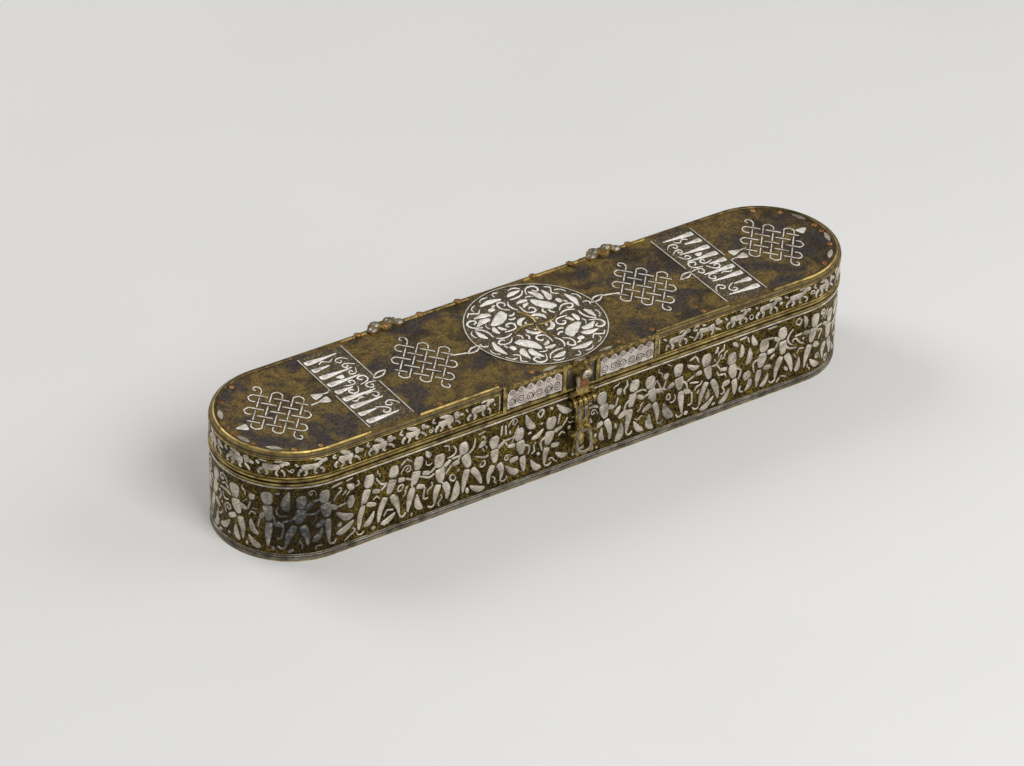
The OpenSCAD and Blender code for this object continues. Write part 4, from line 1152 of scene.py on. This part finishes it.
def knot():
    """The strokes of one woven knot about its own middle."""
    wires = []

    def wire(spots, swap):
        wires.append(([lattice(b, a) if swap else lattice(a, b) for a, b in spots], (WIRE, WIRE)))

    for swap in (False, True):
        for b in range(-EDGE, EDGE + 1):
            cuts = [a for a in range(-EDGE, EDGE + 1) if (a + b) % 2 == int(swap)]
            stops = [-EDGE - 0.5] + [c + side * DIVE for c in cuts for side in (-1, 1)] + [EDGE + 0.5]
            for start, end in zip(stops[::2], stops[1::2]):
                wire([(start, b), (end, b)], swap)
        for way in (1, -1):
            first = -EDGE + (1 if (way > 0) != swap else 0)
            for b in range(first, first + STRANDS - 1, 2):
                wire([(way * EDGE + way * x, b + y) for x, y in LOOP], swap)
    for way in (1, -1):
        wire([(way * (EDGE + x), way * (y - EDGE)) for x, y in TAIL], False)
    return wires


KNOT = knot()
print("a knot has", len(KNOT), "wires")

# %% [markdown]
# The two middle knots are chained to the roundel and to the bands by almond-shaped links. The two end knots
# finish in small triangular leaves, and a pair of leaves joins each band's line where it breaks.

# %% Lay the knots, links and leaves on the lid
KNOT_X = (-98.8, -43.6, 43.6, 97.0)
LINK_L, LINK_W = 6.4, 2.4
TIP = [([(-2.0, 0), (2.0, 0)], (4.4, 3.4, 2.0, 0.6))]
LINK = [([(-LINK_L / 2, 0), (0, way * LINK_W / 2), (LINK_L / 2, 0)], (0.6, 0.75, 0.6)) for way in (-1, 1)]
LID_LIFT = 0.26
tail_out = EDGE * 2 * STEP_X + 1.2
band_edge = band_mid + BAND_W / 2


def inner_parts(x, way):
    """Two links beside a middle knot, and the wire that chains it to the roundel."""
    chain = [(x - way * (tail_out - 1.5), way * 1.1), (way * (roundel_r + LINK_L - 2.2), way * 2.8)]
    return [(LINK, (way * (roundel_r + LINK_L / 2 - 1.6), way * 2.2), 0.35, 1),
            (LINK, (way * (band_mid - BAND_W / 2 - LINK_L / 2 + 1.0), -way * 1.8), 0.35, 1),
            ([(chain, (WIRE, 0.6))], (0, 0), 0, 1)]


def outer_parts(x, way):
    """The leaf at the far end of an end knot, and the pair of leaves at the band with their wires."""
    stem = [(way * (band_edge + 2.9), -way * 1.6), (way * (band_edge + 1.2), -way * 1.5),
            (way * band_edge, -way * 2.6)]
    join = [(way * (band_edge + 6.3), way * 1.7), (way * (band_edge + 9.4), way * 1.9)]
    return [(TIP, (x + way * (tail_out + 3.2), way * 1.2), 0.25 * way, way),
            (TIP, (way * (band_edge + 4.8), -way * 1.6), 0, -way),
            (TIP, (way * (band_edge + 4.4), way * 1.7), 0, way),
            ([(stem, (0.5, 0.55, 0.5)), (join, (0.5, 0.55))], (0, 0), 0, 1)]


for x in KNOT_X:
    way, label = (1, "right") if x > 0 else (-1, "left")
    row, parts = ("inner", inner_parts) if abs(x) < band_mid else ("outer", outer_parts)
    wire, skin = bmesh.new(), bmesh.new()
    for motif, at, turn, flip in [(KNOT, (x, 0), 0, 1)] + parts(x, way):
        lay(wire, on_lid, motif, at, turn, flip, lift=LID_LIFT)
        # A dark skin under each wire: mastic, and painted shade on both sides of the wire.
        lay(skin, on_lid, motif, at, turn, flip, lift=0.05, grow=0.22)
    piece(f"knot_{row}_{label}_skin", skin, MASTIC_AND_GAP_SHADE, "lid", "aged_brass")
    piece(f"knot_{row}_{label}", wire, KNOT_SILVER, "lid", "silver")

# %% [markdown]
# ## Bands
# Each band is a dark field between two silver lines. Its ornament is a plain row of lotus buds: a bud
# stands on the outer line, tapers to a stem, and has cross lines cut into its foot. Curls and thin wires
# fill the stems' side, and the row mirrors about the middle of the lid.

# %% Set the lotus buds in the bands
BUDS = 9
SPAN = 2 * (half_w - 4.6)
LONG_BUD = [([(7.4, 0), (3.6, 0), (-0.5, 0), (-5.0, 0.3)], (3.1, 2.7, 1.9, 1.2, 0.75, 0.5))]
SHORT_BUD = [([(7.4, 0), (4.0, 0), (0.6, 0.2)], (3.0, 2.4, 1.5, 0.9, 0.5))]
CUTS = [([(x, -0.9), (x, 0.9)], (0.22, 0.22)) for x in (6.1, 5.4, 4.7)]
BUD_FILLERS = [([curl(2.2, 1.0, 1.3, 0.52), curl(1.8, 1.0, 1.7, 0.52)], 1600, (0.85, 1.1)),
               ([ARC, SNAKE, DROP], 900, (0.7, 1.0))]
HANDS = ((-1, "left"), (1, "right"))
bud_rows = [(k + 0.5 - BUDS / 2) * SPAN / BUDS for k in range(BUDS)]


def in_band():
    """A random place in a band."""
    return (dice.uniform(-BAND_W / 2, BAND_W / 2), dice.uniform(-SPAN / 2, SPAN / 2))


band_field = Field(lambda u, v, r: abs(u) + r < BAND_W / 2 - 0.5 and abs(v) + r < SPAN / 2 + 0.6, 0.26)
buds = [(SHORT_BUD if k % 3 == 1 else LONG_BUD, ((0, y), 0.0, 1, 1.0)) for k, y in enumerate(bud_rows)]
band_field.keep(buds)
for motifs, tries, sizes in BUD_FILLERS:
    buds += scatter(band_field, motifs, tries, in_band, ANY_TURN, sizes)
for way, label in HANDS:
    silver, graved = bmesh.new(), bmesh.new()
    for motif, (at, turn, flip, size) in buds:
        lay(silver, on_lid, motif, (way * (band_mid + at[0]), at[1]), turn * way, flip * way, size, LID_LIFT)
    for y in bud_rows:
        lay(graved, on_lid, CUTS, (way * band_mid, y), 0, way, lift=0.29)
    piece(f"buds_{label}", silver, SILVER, "lid", "silver")
    piece(f"bud_cuts_{label}", graved, MASTIC_AND_GAP_SHADE, "lid", "aged_brass")

# %% [markdown]
# ## Roundel
# In the roundel four birds turn about four gold arcs, with crescents and sprays of leaves between them,
# and thin wires fill the ground. One quarter is drawn about the upward direction, filled, and turned three
# times, so the fillers keep clear of the quarter's two slanted edges.

# %% Set the roundel
BIRD_R, BIRD_SIZE = 12.6, 1.1
GREAT_BIRD = [
    ([(-4.6, 1.2), (-1.5, -0.2), (2.0, -0.4), (3.0, 0.8)], (1.4, 3.8, 4.0, 2.2)),
    ([(3.3, 2.4), (4.3, 3.6)], (2.2, 2.6, 2.1)), ([(5.3, 3.2), (6.6, 2.5)], (1.0, 0.3)),
    ([(-1.2, 2.4), (-3.0, 4.3), (-6.2, 5.2)], (1.6, 2.5, 0.4)),
    ([(1.0, 2.6), (0.2, 4.8), (-2.4, 7.2)], (1.4, 2.4, 0.4)),
    ([(-5.4, 0.6), (-7.0, -0.4), (-8.2, -2.0)], (1.1, 1.8, 0.5)),
    ([(-4.9, -0.8), (-5.6, -2.2), (-5.6, -3.6)], (0.9, 1.4, 0.4)),
    ([(0.0, -2.9), (0.3, -4.2), (1.5, -4.8)], (0.7, 0.6, 0.5)),
    ([(1.9, -2.7), (2.6, -3.8), (4.0, -3.9)], (0.7, 0.6, 0.5)),
]
CRESCENTS = [([(-2.6, 4.1), (-1.2, 5.4), (1.2, 5.4), (2.6, 4.1)], (0.6, 1.7, 1.7, 0.6)),
             ([(5.6, 20.0), (9.2, 17.6), (11.8, 14.0)], (0.6, 2.5, 0.6)),
             ([(-12.4, 13.6), (-11.4, 15.8), (-9.2, 18.4)], (0.6, 2.3, 0.6))]
HEART = [([(0.7, 0.2), (3.0, 1.4), (5.0, 4.4), (5.6, 7.4)], (0.7, 0.9, 0.8, 0.5))]
BIG_LEAF = [([(-3.4, -0.5), (-0.4, 0.2), (3.4, -0.3)], (0.5, 2.2, 1.9, 0.4))]
ROUNDEL_FILLERS = [([BIG_LEAF, BIG_LEAF, curl(2.3, 0.9, 1.2, 0.6)], 2500, (0.95, 1.3)),
                   ([ARC, SNAKE], 2500, (0.95, 1.2)), ([DROP, ARC, SICKLE], 1200, (0.55, 0.8)),
                   ([ARC, WAVE, PEBBLE], 3000, (0.40, 0.60))]


def in_quarter(u, v, r):
    """Whether a disc lies in the upward quarter of the roundel."""
    return math.hypot(u, v) + r < roundel_r - 1.0 and (v - abs(u)) / math.sqrt(2) > r + 0.15


def in_sector():
    """A random place in the upward quarter."""
    r, a = roundel_r * math.sqrt(dice.random()), dice.uniform(-0.25, 0.25) * math.pi
    return (r * math.sin(a), r * math.cos(a))


quarter = Field(in_quarter, 0.25)
drawn = [(GREAT_BIRD, ((0.4, BIRD_R), 0.0, 1, BIRD_SIZE)), (CRESCENTS, ((0, 0), 0.0, 1, 1.0))]
quarter.keep(drawn + [(HEART, ((0, 0),))])
for motifs, tries, sizes in ROUNDEL_FILLERS:
    drawn += scatter(quarter, motifs, tries, in_sector, ANY_TURN, sizes)
birds, heart = bmesh.new(), bmesh.new()
for k in range(4):
    quarter_turn = (k + 0.5) * math.pi / 2
    c, s = math.cos(quarter_turn), math.sin(quarter_turn)
    for motif, ((u, v), turn, flip, size) in drawn:
        lay(birds, on_lid, motif, (u * c - v * s, u * s + v * c), turn + quarter_turn, flip, size, 0.28)
    lay(heart, on_lid, HEART, (0, 0), quarter_turn)
piece("roundel_birds", birds, SILVER, "lid", "silver")
piece("roundel_heart", heart, KNOB_GOLD, "lid", "brass")

# %% [markdown]
# ## Clasp and plaques
# The two silver cartouches beside the clasp are engraved with a run of scrolls, and dark mastic fills the
# cuts. The same wire curl as on the walls draws them, only finer and with more turns.

# %% Engrave the cartouches
SCROLLS, SCROLL_WIRE, SCROLL_LIFT = 6, 0.32, 0.04
SCROLL = curl(1.7, 1.9, 0.9, SCROLL_WIRE, 14) + [([(-2.0, 1.0), (-1.4, 1.9), (-0.5, 2.3)], (0.2, 0.42, 0.2))]
LOBE_SCROLL = curl(0.9, 1.3, 0.8, 0.28, 9)
cart_low, cart_high = (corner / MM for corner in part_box("cartouche_right"))
share = (cart_high.x - cart_low.x) / SCROLLS
face = facing(cart_low.y)

for way, label in HANDS:
    bm = bmesh.new()
    for k in range(SCROLLS):
        x = way * (cart_low.x + (k + 0.5) * share)
        lay(bm, face, SCROLL, (x, cart_low.z + 2.45), 2.4 + 1.3 * (k % 2), way, lift=SCROLL_LIFT)
        lay(bm, face, LOBE_SCROLL, (x, cart_high.z - 1.25), 2.2, way, lift=SCROLL_LIFT)
    piece(f"scrolls_{label}", bm, MASTIC_AND_GAP_SHADE, "lid", "aged_brass")

# %% [markdown]
# The stud over the clasp has five dark dots in a cross. The hasp hangs a little off the wall, so the silver
# ring round its eye is drawn in the hasp's own slanted plane, found from the joint that carries it: the
# joint's lower limit is the angle that it still has to swing to lie flat.

# %% Dot the stud and ring the hasp's eye
DOT = [([(0, -0.22), (0, 0.22)], (0.44, 0.5, 0.44))]
DOTS = [(0, 0, 0.0), (0.72, 0, 0.16), (-0.72, 0, 0.16), (0, 0.72, 0.16), (0, -0.72, 0.16)]
HASP_FACE = 0.6
EYE_DROP, EYE_W, EYE_H = 15.4, 4.2, 6.6
RING_R, RING_W, HALF_RING = EYE_W / 2 + 0.75, 1.25, 6
stud_low, stud_high = (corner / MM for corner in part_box("clasp_stud"))
stud_mid = (stud_low + stud_high) / 2
swing = next(j for j in frame["joints"] if j["name"] == "hasp_swing")
pin = Vector(swing["pos_m"]) / MM
tilt = math.radians(-swing["range_deg"][0])


def on_hasp(x, z, h):
    """A point of the hasp's front, with z measured down from the pin along the hasp."""
    y = HASP_FACE - h
    return Vector((x, pin.y + y * math.cos(tilt) + z * math.sin(tilt),
                   pin.z - y * math.sin(tilt) + z * math.cos(tilt))) * MM


dots = bmesh.new()
for u, v, deep in DOTS:
    lay(dots, facing(stud_low.y + deep), DOT, (stud_mid.x + u, stud_mid.z + v), lift=0.10)
piece("stud_dots", dots, MASTIC_AND_GAP_SHADE, "lid", "aged_brass")

ring = []
for k in range(2 * HALF_RING + 1):
    a = k * math.pi / HALF_RING
    rise = math.copysign((EYE_H - EYE_W) / 2, math.cos(a))
    ring.append((RING_R * math.sin(a), rise + RING_R * math.cos(a)))
eye = bmesh.new()
lay(eye, on_hasp, [(ring, (RING_W, RING_W))], (0, -EYE_DROP), lift=0.26)
piece("eye_ring", eye, BOSS_SILVER, "hasp", "silver")

# %% [markdown]
# Under the stud the strap carries a copper tab and a strip of silver, and a small silver plate lies on the
# brow where the strap comes over the lid's edge. Dark plates close the recess on both sides of the strap:
# their dark brown is painted shade, for the shadow in that recess.

# %% Dress the strap
STRAP_FACE, BROW_Z = half_w + 1.8, top_z + 0.9
STRAP_LOW, STRAP_HIGH = lid_low + 0.4, stud_low.z - 0.2
TAB = [([(0.75, STRAP_LOW), (0.75, STRAP_HIGH)], (2.6, 2.6))]
STRIP = [([(-1.75, STRAP_LOW), (-1.75, STRAP_HIGH)], (1.3, 1.3))]
BROW = [([(-1.7, 0), (1.7, 0)], (1.2, 1.6, 1.2))]
PLATE_MID, PLATE_SIZE = 4.4, (3.0, 0.9, lid_high - lid_low - 0.4, 1)

tab, strip, recess = bmesh.new(), bmesh.new(), bmesh.new()
lay(tab, facing(-STRAP_FACE), TAB, (0, 0))
lay(strip, facing(-STRAP_FACE), STRIP, (0, 0))
lay(strip, level(BROW_Z), BROW, (0, -half_w))
# Painted shade: two dark plates stand for the shadow in the recess beside the strap.
for way, _ in HANDS:
    at = Matrix.Translation((way * PLATE_MID, -half_w, (lid_low + lid_high) / 2))
    bmesh.ops.create_cube(recess, size=1, matrix=Matrix.Scale(MM, 4) @ at @ Matrix.Diagonal(PLATE_SIZE))
piece("strap_tab", tab, COPPER, "lid", "copper")
piece("strap_silver", strip, BOSS_SILVER, "lid", "silver")
piece("recess_shade_plates", recess, RECESS_SHADE, "lid", "aged_brass")

# %% [markdown]
# ## Sizes
# The inlay is meant to stay within the box of the solids. The box of the solids was kept at the start,
# and here it is set beside the box of the dressed model, whose size is printed.

# %% Measure the dressed model and print its size
low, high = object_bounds()
{"cad": [list(cad_low), list(cad_high)], "visual": [list(low), list(high)]}
print("visual box", [round(c / MM, 1) for c in high - low])
